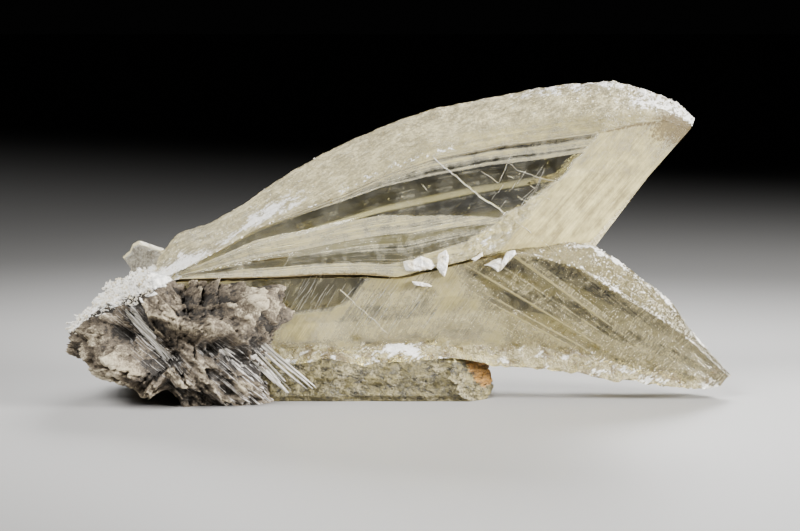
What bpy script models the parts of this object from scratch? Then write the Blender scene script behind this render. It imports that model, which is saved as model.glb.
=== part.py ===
"""A swallowtail twin of selenite on its rock, lying as it rests on a table.

The long axis is X, the broad cleavage faces look along Y (the front one towards -Y), and Z is up.
Tables of places are in millimetres, as X and Z on the crystal's front view with Y as the depth.
"""

import itertools

import bmesh
import bpy
import numpy as np
from mathutils import Matrix, Vector

MM = 0.001

HALF_THICKNESS = 19.0  # from the middle plane of the upper blade to its broad faces
BACK_THICKNESS = 17.5
JOIN_DEPTH = 3.0  # how far the upper blade reaches down into the lower one, inside the twin
CONTACT_GAP = 0.35  # clear space left between pieces that touch

# The upper blade, station by station from its root to its tip:
# seam X and Z, front top edge X and Z, ridge X and Z, half width as a share of the whole.
UPPER_STATIONS = np.array([
    (-66.0, 29.5, -65.0, 30.8, -65.0, 36.0, 0.72),
    (-58.0, 32.3, -56.0, 35.3, -60.0, 42.5, 0.95),
    (-50.0, 32.6, -46.9, 40.1, -51.0, 45.4, 1.0),
    (-42.0, 32.7, -36.4, 46.1, -42.9, 50.0, 1.0),
    (-31.0, 33.0, -26.0, 50.2, -31.0, 58.1, 1.0),
    (-21.0, 33.6, -14.3, 54.9, -20.5, 64.2, 1.0),
    (-10.0, 33.6, -2.6, 60.4, -6.0, 70.8, 1.0),
    (-1.0, 33.0, 8.6, 64.3, 8.0, 75.9, 1.0),
    (9.0, 35.4, 25.9, 67.6, 26.0, 79.3, 1.0),
    (17.0, 37.3, 41.4, 69.5, 42.0, 82.3, 1.0),
    (25.5, 39.8, 52.3, 71.0, 57.0, 83.2, 1.0),
    (33.5, 40.2, 61.5, 72.8, 66.2, 80.8, 0.69),
    (42.5, 39.6, 70.5, 73.2, 74.0, 77.8, 0.37),
    (51.0, 40.4, 77.4, 70.6, 78.7, 73.4, 0.04),
])
UPPER_STEPS = 2  # columns of faces between two stations

# The lower blade, from its root under the upper one to its tip:
# ridge X, Y and Z, front top edge X and Z, front bottom edge X and Z, front Y, back Y.
LOWER_STATIONS = np.array([
    (-66.0, 0.0, 29.0, -66.0, 28.0, -66.0, 9.0, -14.0, 12.0),
    (-58.0, 0.0, 33.0, -58.0, 31.4, -58.0, 8.0, -18.2, 15.0),
    (-42.0, 0.0, 34.0, -42.0, 31.8, -42.0, 8.0, -18.2, 17.0),
    (-26.0, 0.0, 34.5, -26.0, 32.5, -26.0, 8.2, -18.2, 17.0),
    (-10.0, 0.0, 35.0, -10.0, 32.7, -11.0, 9.6, -18.2, 17.0),
    (0.0, 0.0, 34.5, 0.0, 32.2, -1.0, 10.6, -18.2, 16.5),
    (9.0, -1.0, 37.0, 9.0, 34.5, 8.0, 11.2, -18.2, 16.0),
    (18.0, -2.0, 39.0, 17.0, 36.5, 15.0, 11.0, -18.2, 15.0),
    (27.0, -3.0, 41.0, 26.0, 38.6, 23.0, 9.6, -18.2, 13.5),
    (33.0, -4.0, 41.3, 31.0, 39.0, 30.0, 8.6, -18.2, 12.0),
    (41.0, -6.0, 41.2, 38.0, 37.5, 37.0, 8.4, -18.2, 10.5),
    (51.3, -8.0, 40.2, 46.0, 35.5, 43.0, 8.2, -18.2, 9.0),
    (58.3, -8.0, 35.9, 54.0, 30.3, 48.0, 7.0, -18.2, 8.0),
    (63.6, -8.0, 31.5, 59.5, 27.0, 52.0, 5.8, -18.2, 7.0),
    (68.9, -8.0, 27.9, 65.5, 23.4, 58.0, 5.4, -18.2, 6.0),
    (72.4, -8.0, 24.7, 69.5, 20.8, 63.3, 5.0, -18.1, 5.0),
    (75.7, -8.0, 19.9, 74.0, 17.6, 69.0, 4.2, -17.8, 4.0),
    (79.7, -8.0, 14.7, 78.2, 14.0, 75.0, 3.5, -17.2, 3.0),
    (83.8, -8.0, 10.4, 82.2, 10.2, 80.4, 2.8, -16.0, 1.0),
    (88.2, -8.5, 5.4, 87.0, 5.8, 85.2, 2.9, -11.5, -6.0),
])
LOWER_STEPS = 2

# The growth bands on the broad faces: how high each lies from the seam (0) to the top edge (1),
# and how far it is sunk below the face, in millimetres.
UPPER_BANDS = (
    (0.0, 0.0), (0.1, 0.35), (0.28, 0.1), (0.42, 0.5), (0.6, 0.0), (0.66, 0.6), (0.92, 0.5), (1.0, 0.0),
)
LOWER_BANDS = ((0.0, 0.0), (0.16, 0.5), (0.32, 0.1), (0.5, 0.5), (0.68, 0.0), (0.86, 0.3), (1.0, 0.0))

# Flakes that stand out of the broad face along the seam, where the cleavage is chipped: outlines as X and Z.
FLAKES = (
    ((0.8, 34.4), (3.8, 37.4), (8.0, 38.7), (12.8, 37.2), (10.4, 35.0), (5.0, 33.6)),
    ((21.6, 36.8), (24.4, 39.6), (30.4, 40.4), (28.6, 36.8), (26.0, 34.0), (24.6, 36.2)),
)
FLAKE_HEIGHT = 1.0

# The foot blade, a smaller crystal under the twin, from its left to its right end:
# X, front Y, back Y and top Z. The twin's underside is cut from its top.
FOOT_STATIONS = np.array([
    (-44.0, -16.0, 8.0, 7.0),
    (-41.0, -18.2, 10.6, 10.4),
    (-34.0, -19.4, 12.6, 12.6),
    (-26.0, -19.0, 13.0, 13.0),
    (-17.0, -19.6, 12.8, 13.0),
    (-8.0, -19.0, 13.0, 12.8),
    (1.0, -19.5, 12.6, 13.0),
    (9.0, -19.2, 12.8, 13.0),
    (16.0, -19.6, 12.4, 13.0),
    (25.4, -19.5, 12.0, 12.6),
])
FOOT_STEPS = 2
# Its right end is cut to crystal faces: a point on each and the way that it faces.
FOOT_FACES = (
    ((25.2, 0.0, 2.0), (1.0, 0.0, 0.24)),
    ((23.6, 0.0, 0.0), (0.8, 0.0, -0.6)),
    ((13.0, -19.5, 9.0), (0.62, -0.72, 0.3)),
    ((16.2, 12.4, 0.0), (0.6, 0.8, 0.1)),
)

# The side blade, a thin plate that leans out of the crust behind the root: its outline as X and Z.
SIDE_OUTLINE = (
    (-71.5, 24.0), (-70.6, 28.4), (-71.9, 30.3), (-73.0, 32.7), (-75.1, 35.8), (-73.2, 37.4),
    (-72.3, 39.3), (-70.7, 40.1), (-64.2, 37.9), (-62.0, 35.0), (-62.5, 24.0),
)
SIDE_FRONT, SIDE_THICKNESS = 3.0, 6.0

# The rock: its middle, its outline round that middle as X and Z, and its depth each way.
ROCK_MIDDLE = (-58.0, 15.0)
ROCK_OUTLINE = (
    (-86.5, 15.4), (-85.4, 19.5), (-81.2, 23.6), (-79.0, 26.8), (-72.0, 30.8), (-67.0, 32.2),
    (-61.0, 31.4), (-57.0, 29.8), (-50.5, 30.2), (-44.0, 31.6), (-38.5, 30.2), (-32.5, 30.0),
    (-30.2, 26.2), (-27.4, 22.0), (-31.5, 18.6), (-34.0, 15.5), (-34.6, 9.0), (-33.6, 3.0),
    (-35.5, -3.0), (-55.5, -3.0), (-58.6, 3.8), (-62.0, 4.8), (-65.6, 3.6), (-67.6, 6.4),
    (-75.0, 7.4), (-80.0, 9.8), (-84.0, 11.8),
)
ROCK_OVAL = (27.0, 15.5)  # half width and half height of the rounder shape near its front and back
ROCK_FRONT, ROCK_BACK = -32.0, 25.0
ROCK_SIDE_DEPTH = -9.0  # the depth at which the rock is widest
ROCK_SQUARENESS = 3.0  # 2 would be an ellipsoid, more is blunter
ROCK_BACK_SHORTENING = 0.28  # behind the crystal the rock reaches less far along it
ROCK_FINENESS = 5  # subdivisions of the sphere that it starts as

# What stands out of the rock's front or is sunk in it: middle X and Z, half length, half width,
# the turn of its long way in degrees, and its height.
ROCK_FORMS = (
    (-77.0, 21.8, 8.5, 3.8, 15.0, 3.2),
    (-73.5, 14.0, 8.0, 3.8, -25.0, 3.4),
    (-77.5, 17.8, 8.0, 1.5, 8.0, -2.4),
    (-64.5, 18.0, 12.5, 2.8, -52.0, -5.0),
    (-50.0, 20.4, 15.0, 2.0, -12.0, 4.2),
    (-46.5, 15.6, 6.5, 2.8, -15.0, -4.6),
    (-59.0, 14.4, 4.0, 3.6, 0.0, -2.6),
    (-37.5, 25.4, 8.5, 4.2, -10.0, 3.4),
    (-54.0, 27.6, 7.0, 2.4, -10.0, -3.0),
    (-55.0, 8.2, 5.5, 3.2, -10.0, 3.2),
    (-64.0, 6.8, 5.0, 2.4, 0.0, 1.8),
    (-59.4, 8.0, 3.4, 1.6, 80.0, -3.0),
    (-43.0, 9.6, 6.0, 2.0, -30.0, 1.6),
)
ROCK_LUMPS = ((10.0, 1.8), (5.0, 1.3), (2.8, 0.8))  # size and height of its lumps
LEDGE_PITCH, LEDGE_HEIGHT, LEDGE_TURN = 4.6, 1.0, -42.0  # thin layers that end in steps, and their turn

# Splinters of satin spar, fused to the rock: start X and Z, end X and Z, width, start and end depth.
SPLINTERS = (
    (-43.0, 22.0, -21.6, 3.0, 1.3, -22.6, -20.6),
    (-42.0, 19.6, -24.8, 3.4, 1.2, -22.8, -20.6),
    (-42.5, 16.4, -29.0, 3.0, 1.3, -23.4, -20.8),
    (-40.0, 21.4, -23.0, 5.6, 1.0, -22.2, -20.4),
    (-46.0, 14.8, -33.4, 3.2, 1.2, -25.6, -21.4),
    (-49.0, 12.4, -38.6, 2.2, 1.2, -26.4, -22.0),
    (-71.0, 26.6, -57.4, 12.6, 1.4, -28.4, -28.8),
    (-69.0, 21.4, -57.4, 8.6, 1.3, -29.0, -28.4),
    (-66.4, 24.8, -59.4, 17.0, 1.2, -27.6, -27.8),
)


def clear_scene():
    """Removes the startup objects."""
    for obj in list(bpy.data.objects):
        bpy.data.objects.remove(obj)


def make_material(name, colour, roughness, transmission=0.0):
    """A plain finish: a base colour, a roughness and how much light it lets through."""
    material = bpy.data.materials.new(name)
    material.use_nodes = True
    shader = material.node_tree.nodes["Principled BSDF"]
    shader.inputs["Base Color"].default_value = (*colour, 1.0)
    shader.inputs["Roughness"].default_value = roughness
    shader.inputs["Metallic"].default_value = 0.0
    shader.inputs["Transmission Weight"].default_value = transmission
    return material


def make_collection(name, hidden=False):
    """A collection of the scene, left out of renders when it only holds cutters."""
    collection = bpy.data.collections.new(name)
    bpy.context.scene.collection.children.link(collection)
    collection.hide_render = hidden
    return collection


def object_from(mesh_builder, name, collection):
    """An object whose mesh is the given bmesh, with its faces turned outwards."""
    bmesh.ops.recalc_face_normals(mesh_builder, faces=mesh_builder.faces)
    mesh = bpy.data.meshes.new(name)
    mesh_builder.to_mesh(mesh)
    mesh_builder.free()
    obj = bpy.data.objects.new(name, mesh)
    collection.objects.link(obj)
    return obj


def loft(name, rings, collection):
    """A closed solid through unlike rings: rings[i, j] is point j of ring i, in millimetres."""
    ring_count, point_count, _ = rings.shape
    shape = bmesh.new()
    verts = [[shape.verts.new(Vector(p) * MM) for p in ring] for ring in rings]
    for i in range(ring_count - 1):
        for j in range(point_count):
            k = (j + 1) % point_count
            shape.faces.new((verts[i][j], verts[i][k], verts[i + 1][k], verts[i + 1][j]))
    shape.faces.new(verts[0])
    shape.faces.new(verts[-1])
    bmesh.ops.triangulate(shape, faces=shape.faces)
    return object_from(shape, name, collection)


def spread(stations, steps):
    """The table's rows with evenly spaced rows put in between, so that every station is kept."""
    count = len(stations)
    at = np.linspace(0, count - 1, (count - 1) * steps + 1)
    return np.array([np.interp(at, np.arange(count), column) for column in stations.T]).T


def between(start, end, share):
    """The point a share of the way from start to end."""
    return start + (end - start) * share


def smooth_noise(points, size, seed=0):
    """Smooth values from -1 to 1: hashed values on a cubic lattice, blended between its corners."""
    place = np.asarray(points, dtype=float) / size
    cell = np.floor(place).astype(np.int64)
    part = place - cell
    part = part * part * (3.0 - 2.0 * part)
    total = 0.0
    for corner in itertools.product((0, 1), repeat=3):
        x, y, z = np.moveaxis(cell + corner, -1, 0)
        key = (x * 73856093 ^ y * 19349663 ^ z * 83492791 ^ (seed + 1) * 26544357) & 0xFFFFFF
        key = (key * 1103515 ^ key >> 7) & 0xFFFFFF
        key = (key * 69069 ^ key >> 11) & 0xFFFF
        weight = np.prod(np.where(corner, part, 1.0 - part), axis=-1)
        total = total + (key / 32767.5 - 1.0) * weight
    return total


def bump(point, size, height):
    """A smooth lump value at a place: noise of that size, times the height."""
    return height * smooth_noise(point, size)


def upper_ring(row):
    """One cross section of the upper blade: up the front, over the ridge, down the back."""
    seam_x, seam_z, edge_x, edge_z, ridge_x, ridge_z, width = row
    front, back = -HALF_THICKNESS * width, BACK_THICKNESS * width
    seam = np.array((seam_x, front, seam_z))
    edge = np.array((edge_x, front, edge_z))
    ridge = np.array((ridge_x, 0.0, ridge_z))
    back_edge = np.array((edge_x + 1.5 * width, back, edge_z + 1.0 * width))
    back_seam = np.array((seam_x, back, seam_z + 0.6))
    ring = []
    for height, sunk in UPPER_BANDS:
        ring.append(between(seam, edge, height) + (0, sunk * width, 0))
    for share in (0.35, 0.7):
        point = between(edge, ridge, share)
        ring.append(point + (0, 0, bump(point, 7.0, 0.6 * width)))
    ring.append(ridge + (0, 0, bump(ridge, 5.0, 0.5 * width)))
    ring.append(between(ridge, back_edge, 0.5))
    for share in (0.0, 0.35, 0.7, 1.0):
        ring.append(between(back_edge, back_seam, share))
    inset = 0.8
    ring.append(back_seam * (1, inset, 1) - (0, 0, JOIN_DEPTH))
    ring.append(seam * (1, inset, 1) - (0, 0, JOIN_DEPTH))
    return ring


def lower_ring(row):
    """One cross section of the lower blade: down the front, across the underside, up the back."""
    ridge_x, ridge_y, ridge_z, top_x, top_z, low_x, low_z, front, back = row
    top = np.array((top_x, front, top_z))
    low = np.array((low_x, front + 1.2, low_z))
    back_low = np.array((low_x, back - 1.2, low_z + 0.8))
    back_top = np.array((top_x, back, top_z))
    # The bands are shallow where the blade is thin.
    depth = min(1.0, (back - front) / 24.0)
    ring = [between(top, low, height) + (0, sunk * depth, 0) for height, sunk in LOWER_BANDS]
    for share in (0.3, 0.65):
        point = between(low, back_low, share)
        ring.append(point + (0, 0, bump(point, 4.0, 1.3 * depth) - 0.3))
    for share in (0.0, 0.3, 0.65, 1.0):
        ring.append(between(back_low, back_top, share))
    ring.append(np.array((ridge_x, ridge_y, ridge_z)))
    return ring


def make_twin(collection, cutters):
    """The two blades, grown together along the seam and joined in one solid."""
    upper = np.array([upper_ring(row) for row in spread(UPPER_STATIONS, UPPER_STEPS)])
    lower = np.array([lower_ring(row) for row in spread(LOWER_STATIONS, LOWER_STEPS)])
    roughen_underside(lower)
    twin = loft("selenite_twin", lower, collection)
    blade = loft("upper_blade_join", upper, cutters)
    combine(twin, blade, "UNION")
    for outline in FLAKES:
        combine(twin, flake(outline, cutters), "UNION")
    return twin


def flake(outline, collection):
    """A thin chip: its outline inside the broad face, drawn in towards its middle where it stands out."""
    outline = np.array(outline)
    top = between(outline.mean(axis=0), outline, 0.7)
    depths = (-HALF_THICKNESS + 1.2, -HALF_THICKNESS - FLAKE_HEIGHT)
    rings = [[(x, depth, z) for x, z in points] for points, depth in zip((outline, top), depths)]
    return loft("flake", np.array(rings), collection)


def roughen_underside(rings):
    """Etches the lower quarter of the lower blade: its points move in and out by a seeded amount."""
    height = rings[:, :, 2]
    depth = np.clip((15.0 - height) / 8.0, 0.0, 1.0)
    wave = np.sin(rings[:, :, 0] * 1.9 + rings[:, :, 1] * 0.7) + np.sin(rings[:, :, 0] * 0.83)
    tip = np.clip((88.2 - rings[:, :, 0]) / 12.0, 0.0, 1.0)
    rings[:, :, 2] += 0.35 * wave * depth * tip
    rings[:, :, 1] += 0.30 * np.sin(rings[:, :, 0] * 2.7 + height) * depth * tip


def combine(obj, other, operation, solver="EXACT"):
    """Applies a Boolean of the other object to this one, and keeps the result as its mesh."""
    modifier = obj.modifiers.new(operation.title(), "BOOLEAN")
    modifier.operation = operation
    modifier.solver = solver
    modifier.object = other
    bpy.context.view_layer.update()
    graph = bpy.context.evaluated_depsgraph_get()
    mesh = bpy.data.meshes.new_from_object(obj.evaluated_get(graph))
    obj.modifiers.remove(modifier)
    old = obj.data
    obj.data = mesh
    bpy.data.meshes.remove(old)
    mesh.name = obj.name


def island(start):
    """All the points of a mesh that are joined to one point by edges."""
    found, waiting = {start}, [start]
    while waiting:
        vert = waiting.pop()
        near = {edge.other_vert(vert) for edge in vert.link_edges} - found
        found |= near
        waiting.extend(near)
    return found


def keep_main_body(obj):
    """Deletes the crumbs that a Boolean leaves where two surfaces just graze each other."""
    shape = bmesh.new()
    shape.from_mesh(obj.data)
    loose = set(shape.verts)
    islands = []
    while loose:
        islands.append(island(next(iter(loose))))
        loose -= islands[-1]
    main_body = max(islands, key=len)
    crumbs = [vert for vert in shape.verts if vert not in main_body]
    bmesh.ops.delete(shape, geom=crumbs, context="VERTS")
    shape.to_mesh(obj.data)
    shape.free()


def swollen_copy(obj, collection, by=CONTACT_GAP):
    """A cutter: the object's shape with every face moved out by the gap."""
    shape = bmesh.new()
    shape.from_mesh(obj.data)
    bmesh.ops.remove_doubles(shape, verts=shape.verts, dist=0.00005)
    shape.normal_update()
    moves = [v.normal * (by * MM * min(v.calc_shell_factor(), 1.8)) for v in shape.verts]
    for vert, move in zip(shape.verts, moves):
        vert.co += move
    return object_from(shape, obj.name + "_room", collection)


def cut_by_plane(shape, point, normal):
    """Cuts the shape flat, keeping the side behind the plane, and closes the cut."""
    geometry = list(shape.verts) + list(shape.edges) + list(shape.faces)
    cut = bmesh.ops.bisect_plane(
        shape, geom=geometry, dist=1e-6, plane_co=Vector(point) * MM,
        plane_no=Vector(normal), clear_outer=True,
    )
    rim = [g for g in cut["geom_cut"] if isinstance(g, bmesh.types.BMEdge)]
    bmesh.ops.holes_fill(shape, edges=rim)


def foot_ring(row):
    """One cross section of the foot blade: up its etched front, over its top, down its back, along its base."""
    x, front, back, top = row
    ring = np.array([
        (x, front + 1.6, 0.0),
        (x, front + 0.2, top * 0.12),
        (x, front + 0.5, top * 0.32),
        (x, front, top * 0.5),
        (x, front + 1.4, top * 0.74),
        (x, front + 4.0, top),
        (x, back - 3.0, top),
        (x, back, top * 0.62),
        (x, back - 0.4, top * 0.24),
        (x, back - 1.8, 0.0),
    ])
    etched = ring[1:-1]
    etched[:, 1] += 0.5 * smooth_noise(etched, 4.0, seed=3)
    return ring


def make_foot(collection):
    """The foot blade: a loft of its cross sections, cut to crystal faces at its right end."""
    foot = loft("foot_blade", np.array([foot_ring(row) for row in spread(FOOT_STATIONS, FOOT_STEPS)]), collection)
    shape = bmesh.new()
    shape.from_mesh(foot.data)
    for point, normal in FOOT_FACES:
        cut_by_plane(shape, point, normal)
    bmesh.ops.triangulate(shape, faces=shape.faces)
    bmesh.ops.recalc_face_normals(shape, faces=shape.faces)
    shape.to_mesh(foot.data)
    shape.free()
    return foot


def make_side(collection):
    """The side blade: its outline as a flat plate with bevelled edges."""
    curve = bpy.data.curves.new("side_blade_outline", "CURVE")
    curve.dimensions = "2D"
    curve.fill_mode = "BOTH"
    curve.extrude = SIDE_THICKNESS / 2 * MM
    spline = curve.splines.new("POLY")
    spline.points.add(len(SIDE_OUTLINE) - 1)
    for point, (x, z) in zip(spline.points, SIDE_OUTLINE):
        point.co = (x * MM, z * MM, 0.0, 1.0)
    spline.use_cyclic_u = True
    outline = bpy.data.objects.new("side_blade_outline", curve)
    collection.objects.link(outline)
    outline.rotation_euler = (np.pi / 2, 0.0, 0.0)
    outline.location = (0.0, (SIDE_FRONT + SIDE_THICKNESS / 2) * MM, 0.0)
    bpy.context.view_layer.update()
    mesh = bpy.data.meshes.new_from_object(outline.evaluated_get(bpy.context.evaluated_depsgraph_get()))
    shape = bmesh.new()
    shape.from_mesh(mesh)
    bmesh.ops.transform(shape, matrix=outline.matrix_world, verts=shape.verts)
    bmesh.ops.remove_doubles(shape, verts=shape.verts, dist=0.00001)
    bmesh.ops.dissolve_limit(shape, angle_limit=0.01, verts=shape.verts, edges=shape.edges)
    broad = [f for f in shape.faces if len(f.verts) > 4]
    rims = {edge for face in broad for edge in face.edges}
    bmesh.ops.bevel(shape, geom=list(rims), offset=1.1 * MM, segments=1, affect="EDGES")
    bmesh.ops.triangulate(shape, faces=shape.faces)
    bpy.data.objects.remove(outline)
    bpy.data.meshes.remove(mesh)
    return object_from(shape, "side_blade", collection)


def outline_reach(angles):
    """How far the rock's outline lies from its middle in each direction of the front view."""
    outline = np.array(ROCK_OUTLINE) - ROCK_MIDDLE
    turn = np.arctan2(outline[:, 1], outline[:, 0])
    reach = np.hypot(outline[:, 0], outline[:, 1])
    order = np.argsort(turn)
    return np.interp(angles, turn[order], reach[order], period=2 * np.pi)


def rock_surface(ways):
    """The rock's smooth surface: a blunt ellipsoid whose rim follows the outline of the front view."""
    along, deep, up = ways.T
    side = np.hypot(along, up)
    angles = np.arctan2(up, along)
    blunt = (side ** ROCK_SQUARENESS + abs(deep) ** ROCK_SQUARENESS) ** (-1.0 / ROCK_SQUARENESS)
    share, bend = side * blunt, deep * blunt
    oval = 1.0 / np.hypot(np.cos(angles) / ROCK_OVAL[0], np.sin(angles) / ROCK_OVAL[1])
    reach = between(oval, outline_reach(angles), share ** 2) * share
    reach *= 1.0 - ROCK_BACK_SHORTENING * np.clip(bend, 0.0, 1.0) * np.clip(np.cos(angles), 0.0, 1.0)
    depth = np.where(bend < 0, ROCK_SIDE_DEPTH - ROCK_FRONT, ROCK_BACK - ROCK_SIDE_DEPTH)
    return np.stack([
        ROCK_MIDDLE[0] + np.cos(angles) * reach,
        ROCK_SIDE_DEPTH + bend * depth,
        ROCK_MIDDLE[1] + np.sin(angles) * reach,
    ], axis=1)


def turned(points, middle, degrees):
    """Places in the front view, measured along and across a way that is turned from +X about a middle."""
    turn = np.radians(degrees)
    x, z = points[:, 0] - middle[0], points[:, 2] - middle[1]
    return x * np.cos(turn) + z * np.sin(turn), z * np.cos(turn) - x * np.sin(turn)


def rock_height(points):
    """How far the rock's surface stands out at each place: its forms, its lumps and its ledges."""
    front = np.clip((ROCK_SIDE_DEPTH - 4.0 - points[:, 1]) / 10.0, 0.0, 1.0)
    height = np.zeros(len(points))
    for x, z, half_length, half_width, degrees, size in ROCK_FORMS:
        along, across = turned(points, (x, z), degrees)
        height += front * size * np.exp(-((along / half_length) ** 2 + (across / half_width) ** 2) * 0.8)
    for seed, (size, lump) in enumerate(ROCK_LUMPS):
        height += lump * smooth_noise(points, size, seed)
    _, across = turned(points, ROCK_MIDDLE, LEDGE_TURN)
    layer = across / LEDGE_PITCH + 0.5 * smooth_noise(points, 9.0, 7)
    return height + LEDGE_HEIGHT * ((layer - np.floor(layer)) - 0.5)


def make_rock(collection):
    """The rock: a sphere drawn to its shape, pushed out into forms, lumps and ledges, and cut off flat."""
    shape = bmesh.new()
    bmesh.ops.create_icosphere(shape, subdivisions=ROCK_FINENESS, radius=1.0)
    ways = np.array([v.co.normalized() for v in shape.verts])
    surface = rock_surface(ways)
    core = np.array((ROCK_MIDDLE[0], ROCK_SIDE_DEPTH, ROCK_MIDDLE[1]))
    outward = (surface - core) / np.linalg.norm(surface - core, axis=1, keepdims=True)
    surface += outward * rock_height(surface)[:, None]
    for vert, place in zip(shape.verts, surface):
        vert.co = Vector(place) * MM
    cut_by_plane(shape, (0, 0, 0), (0, 0, -1))
    bmesh.ops.triangulate(shape, faces=shape.faces)
    return object_from(shape, "matrix_rock", collection)


def splinter(start, end, width, collection):
    """A long four-sided needle with slanted ends, from start to end in millimetres."""
    start, end = Vector(start), Vector(end)
    way = (end - start).normalized()
    side = way.cross(Vector((0, 1, 0))).normalized() * width / 2
    deep = Vector((0, 1, 0)) * width / 2
    ring = [start + side, start + deep, start - side, start - deep]
    far = [end + side * 0.5, end + deep * 0.5, end - side * 0.4 - way * width, end - deep * 0.5]
    rings = np.array([[tuple(p) for p in ring], [tuple(p) for p in far]])
    return loft("splinter", rings, collection)


def move_to_base(nodes):
    """Puts the origin under the middle of the whole piece, on the surface that it rests on."""
    corners = np.array([v.co for obj in nodes for v in obj.data.vertices])
    low, high = corners.min(axis=0), corners.max(axis=0)
    shift = Vector((-(low[0] + high[0]) / 2, -(low[1] + high[1]) / 2, -low[2]))
    for obj in nodes:
        obj.data.transform(Matrix.Translation(shift))


def main():
    clear_scene()
    parts = make_collection("selenite_specimen")
    cutters = make_collection("cutters", hidden=True)

    twin = make_twin(parts, cutters)
    twin_room = swollen_copy(twin, cutters)

    foot = make_foot(parts)
    foot_room = swollen_copy(foot, cutters)
    combine(foot, twin_room, "DIFFERENCE")

    side = make_side(parts)
    side_room = swollen_copy(side, cutters)
    combine(side, twin_room, "DIFFERENCE")

    rock = make_rock(parts)
    for start_x, start_z, end_x, end_z, width, start_y, end_y in SPLINTERS:
        needle = splinter((start_x, start_y, start_z), (end_x, end_y, end_z), width, cutters)
        combine(rock, needle, "UNION")
    # The swollen rooms cross themselves a little at the inner corners, which the exact solver refuses.
    for room in (twin_room, foot_room, side_room):
        combine(rock, room, "DIFFERENCE", solver="MANIFOLD")
    keep_main_body(rock)

    clear = make_material("clear_selenite", (0.86, 0.84, 0.72), 0.15, 0.8)
    stained = make_material("stained_selenite", (0.62, 0.5, 0.3), 0.4, 0.4)
    cloudy = make_material("cloudy_selenite", (0.62, 0.58, 0.5), 0.4, 0.4)
    stone = make_material("gypsum_rock", (0.42, 0.37, 0.3), 0.85)
    for obj, material in ((twin, clear), (foot, stained), (side, cloudy), (rock, stone)):
        obj.data.materials.clear()
        obj.data.materials.append(material)
    for cutter in cutters.objects:
        cutter.hide_render = True
        cutter.display_type = "WIRE"
    move_to_base((twin, foot, side, rock))


if __name__ == "__main__":
    main()
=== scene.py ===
import itertools
import math

import bmesh
import bpy
import numpy as np
from bpy.props import FloatProperty, FloatVectorProperty, IntProperty, PointerProperty
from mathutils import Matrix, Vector
from mathutils.kdtree import KDTree


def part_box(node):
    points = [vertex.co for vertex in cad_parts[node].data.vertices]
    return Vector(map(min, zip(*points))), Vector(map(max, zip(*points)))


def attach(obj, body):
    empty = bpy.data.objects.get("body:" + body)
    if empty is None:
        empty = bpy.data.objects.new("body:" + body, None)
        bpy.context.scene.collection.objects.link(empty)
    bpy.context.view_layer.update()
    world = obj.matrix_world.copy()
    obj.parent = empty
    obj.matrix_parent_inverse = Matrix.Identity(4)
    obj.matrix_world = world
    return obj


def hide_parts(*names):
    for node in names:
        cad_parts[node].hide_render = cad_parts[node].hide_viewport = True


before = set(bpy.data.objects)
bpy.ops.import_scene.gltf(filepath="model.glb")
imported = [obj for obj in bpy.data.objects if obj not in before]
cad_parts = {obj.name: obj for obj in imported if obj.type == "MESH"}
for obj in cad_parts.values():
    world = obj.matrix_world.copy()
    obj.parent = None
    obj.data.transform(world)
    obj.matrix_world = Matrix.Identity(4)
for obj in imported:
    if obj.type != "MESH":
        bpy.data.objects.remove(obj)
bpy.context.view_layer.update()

bl_info = {
    "name": "Selenite swallowtail specimen",
    "version": (1, 0, 0),
    "blender": (4, 5, 0),
    "location": "3D View > Sidebar > Selenite",
    "description": "Builds a twinned selenite crystal on its rock, with its stage",
    "category": "Add Mesh",
}

MM = 0.001

# The twin's half thickness at its front and back, its tip, and how far its blades reach into each other.
HALF_THICKNESS = 19.0
BACK_THICKNESS = 17.5
TIP_X = 88.2
JOIN_DEPTH = 3.0
# The clear space kept between pieces that touch, and how far a sharp corner may stretch it.
ROOM_GAP = 0.3
MOST_STRETCH = 1.8
MERGE_DISTANCE = 0.00002

# Steps along the blades, and over how many of them a blade's lines are averaged.
UPPER_COLUMNS, LOWER_COLUMNS = 240, 250
SMOOTHED_OVER = 5

# Refraction of the clear crystal, and of the rock and its crusts.
CRYSTAL_IOR = 1.523
ROCK_IOR = 1.52
# How much more light the foot blade keeps than the twin.
FOOT_ABSORPTION = 2.0
# Edges sharper than this are not shaded smooth, in degrees.
SHARP_DEGREES = 35.0
ROCK_SHARP_DEGREES = 38.0

# The tables below are in millimetres on the crystal's own front view. SHIFT moves them to the frame.
SHIFT = np.array([
    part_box("selenite_twin")[1].x / MM - TIP_X,
    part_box("selenite_twin")[1].y / MM - BACK_THICKNESS,
    0.0,
])

# The upper blade: seam X and Z, front top edge X and Z, ridge X and Z, half width as a share.
UPPER_STATIONS = np.array([
    (-66.0, 29.5, -65.0, 30.8, -65.0, 36.0, 0.72),
    (-58.0, 32.3, -56.0, 35.3, -60.0, 42.5, 0.95),
    (-50.0, 32.6, -46.9, 40.1, -51.0, 45.4, 1.0),
    (-42.0, 32.7, -36.4, 46.1, -42.9, 50.0, 1.0),
    (-31.0, 33.0, -26.0, 50.2, -31.0, 58.1, 1.0),
    (-21.0, 33.6, -14.3, 54.9, -20.5, 64.2, 1.0),
    (-10.0, 33.6, -2.6, 60.4, -6.0, 70.8, 1.0),
    (-1.0, 33.0, 8.6, 64.3, 8.0, 75.9, 1.0),
    (9.0, 35.4, 25.9, 67.6, 26.0, 79.3, 1.0),
    (17.0, 37.3, 41.4, 69.5, 42.0, 82.3, 1.0),
    (25.5, 39.8, 52.3, 71.0, 57.0, 83.2, 1.0),
    (33.5, 40.2, 61.5, 72.8, 66.2, 80.8, 0.69),
    (42.5, 39.6, 70.5, 73.2, 74.0, 77.8, 0.37),
    (51.0, 40.4, 77.4, 70.6, 78.7, 73.4, 0.04),
])

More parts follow.
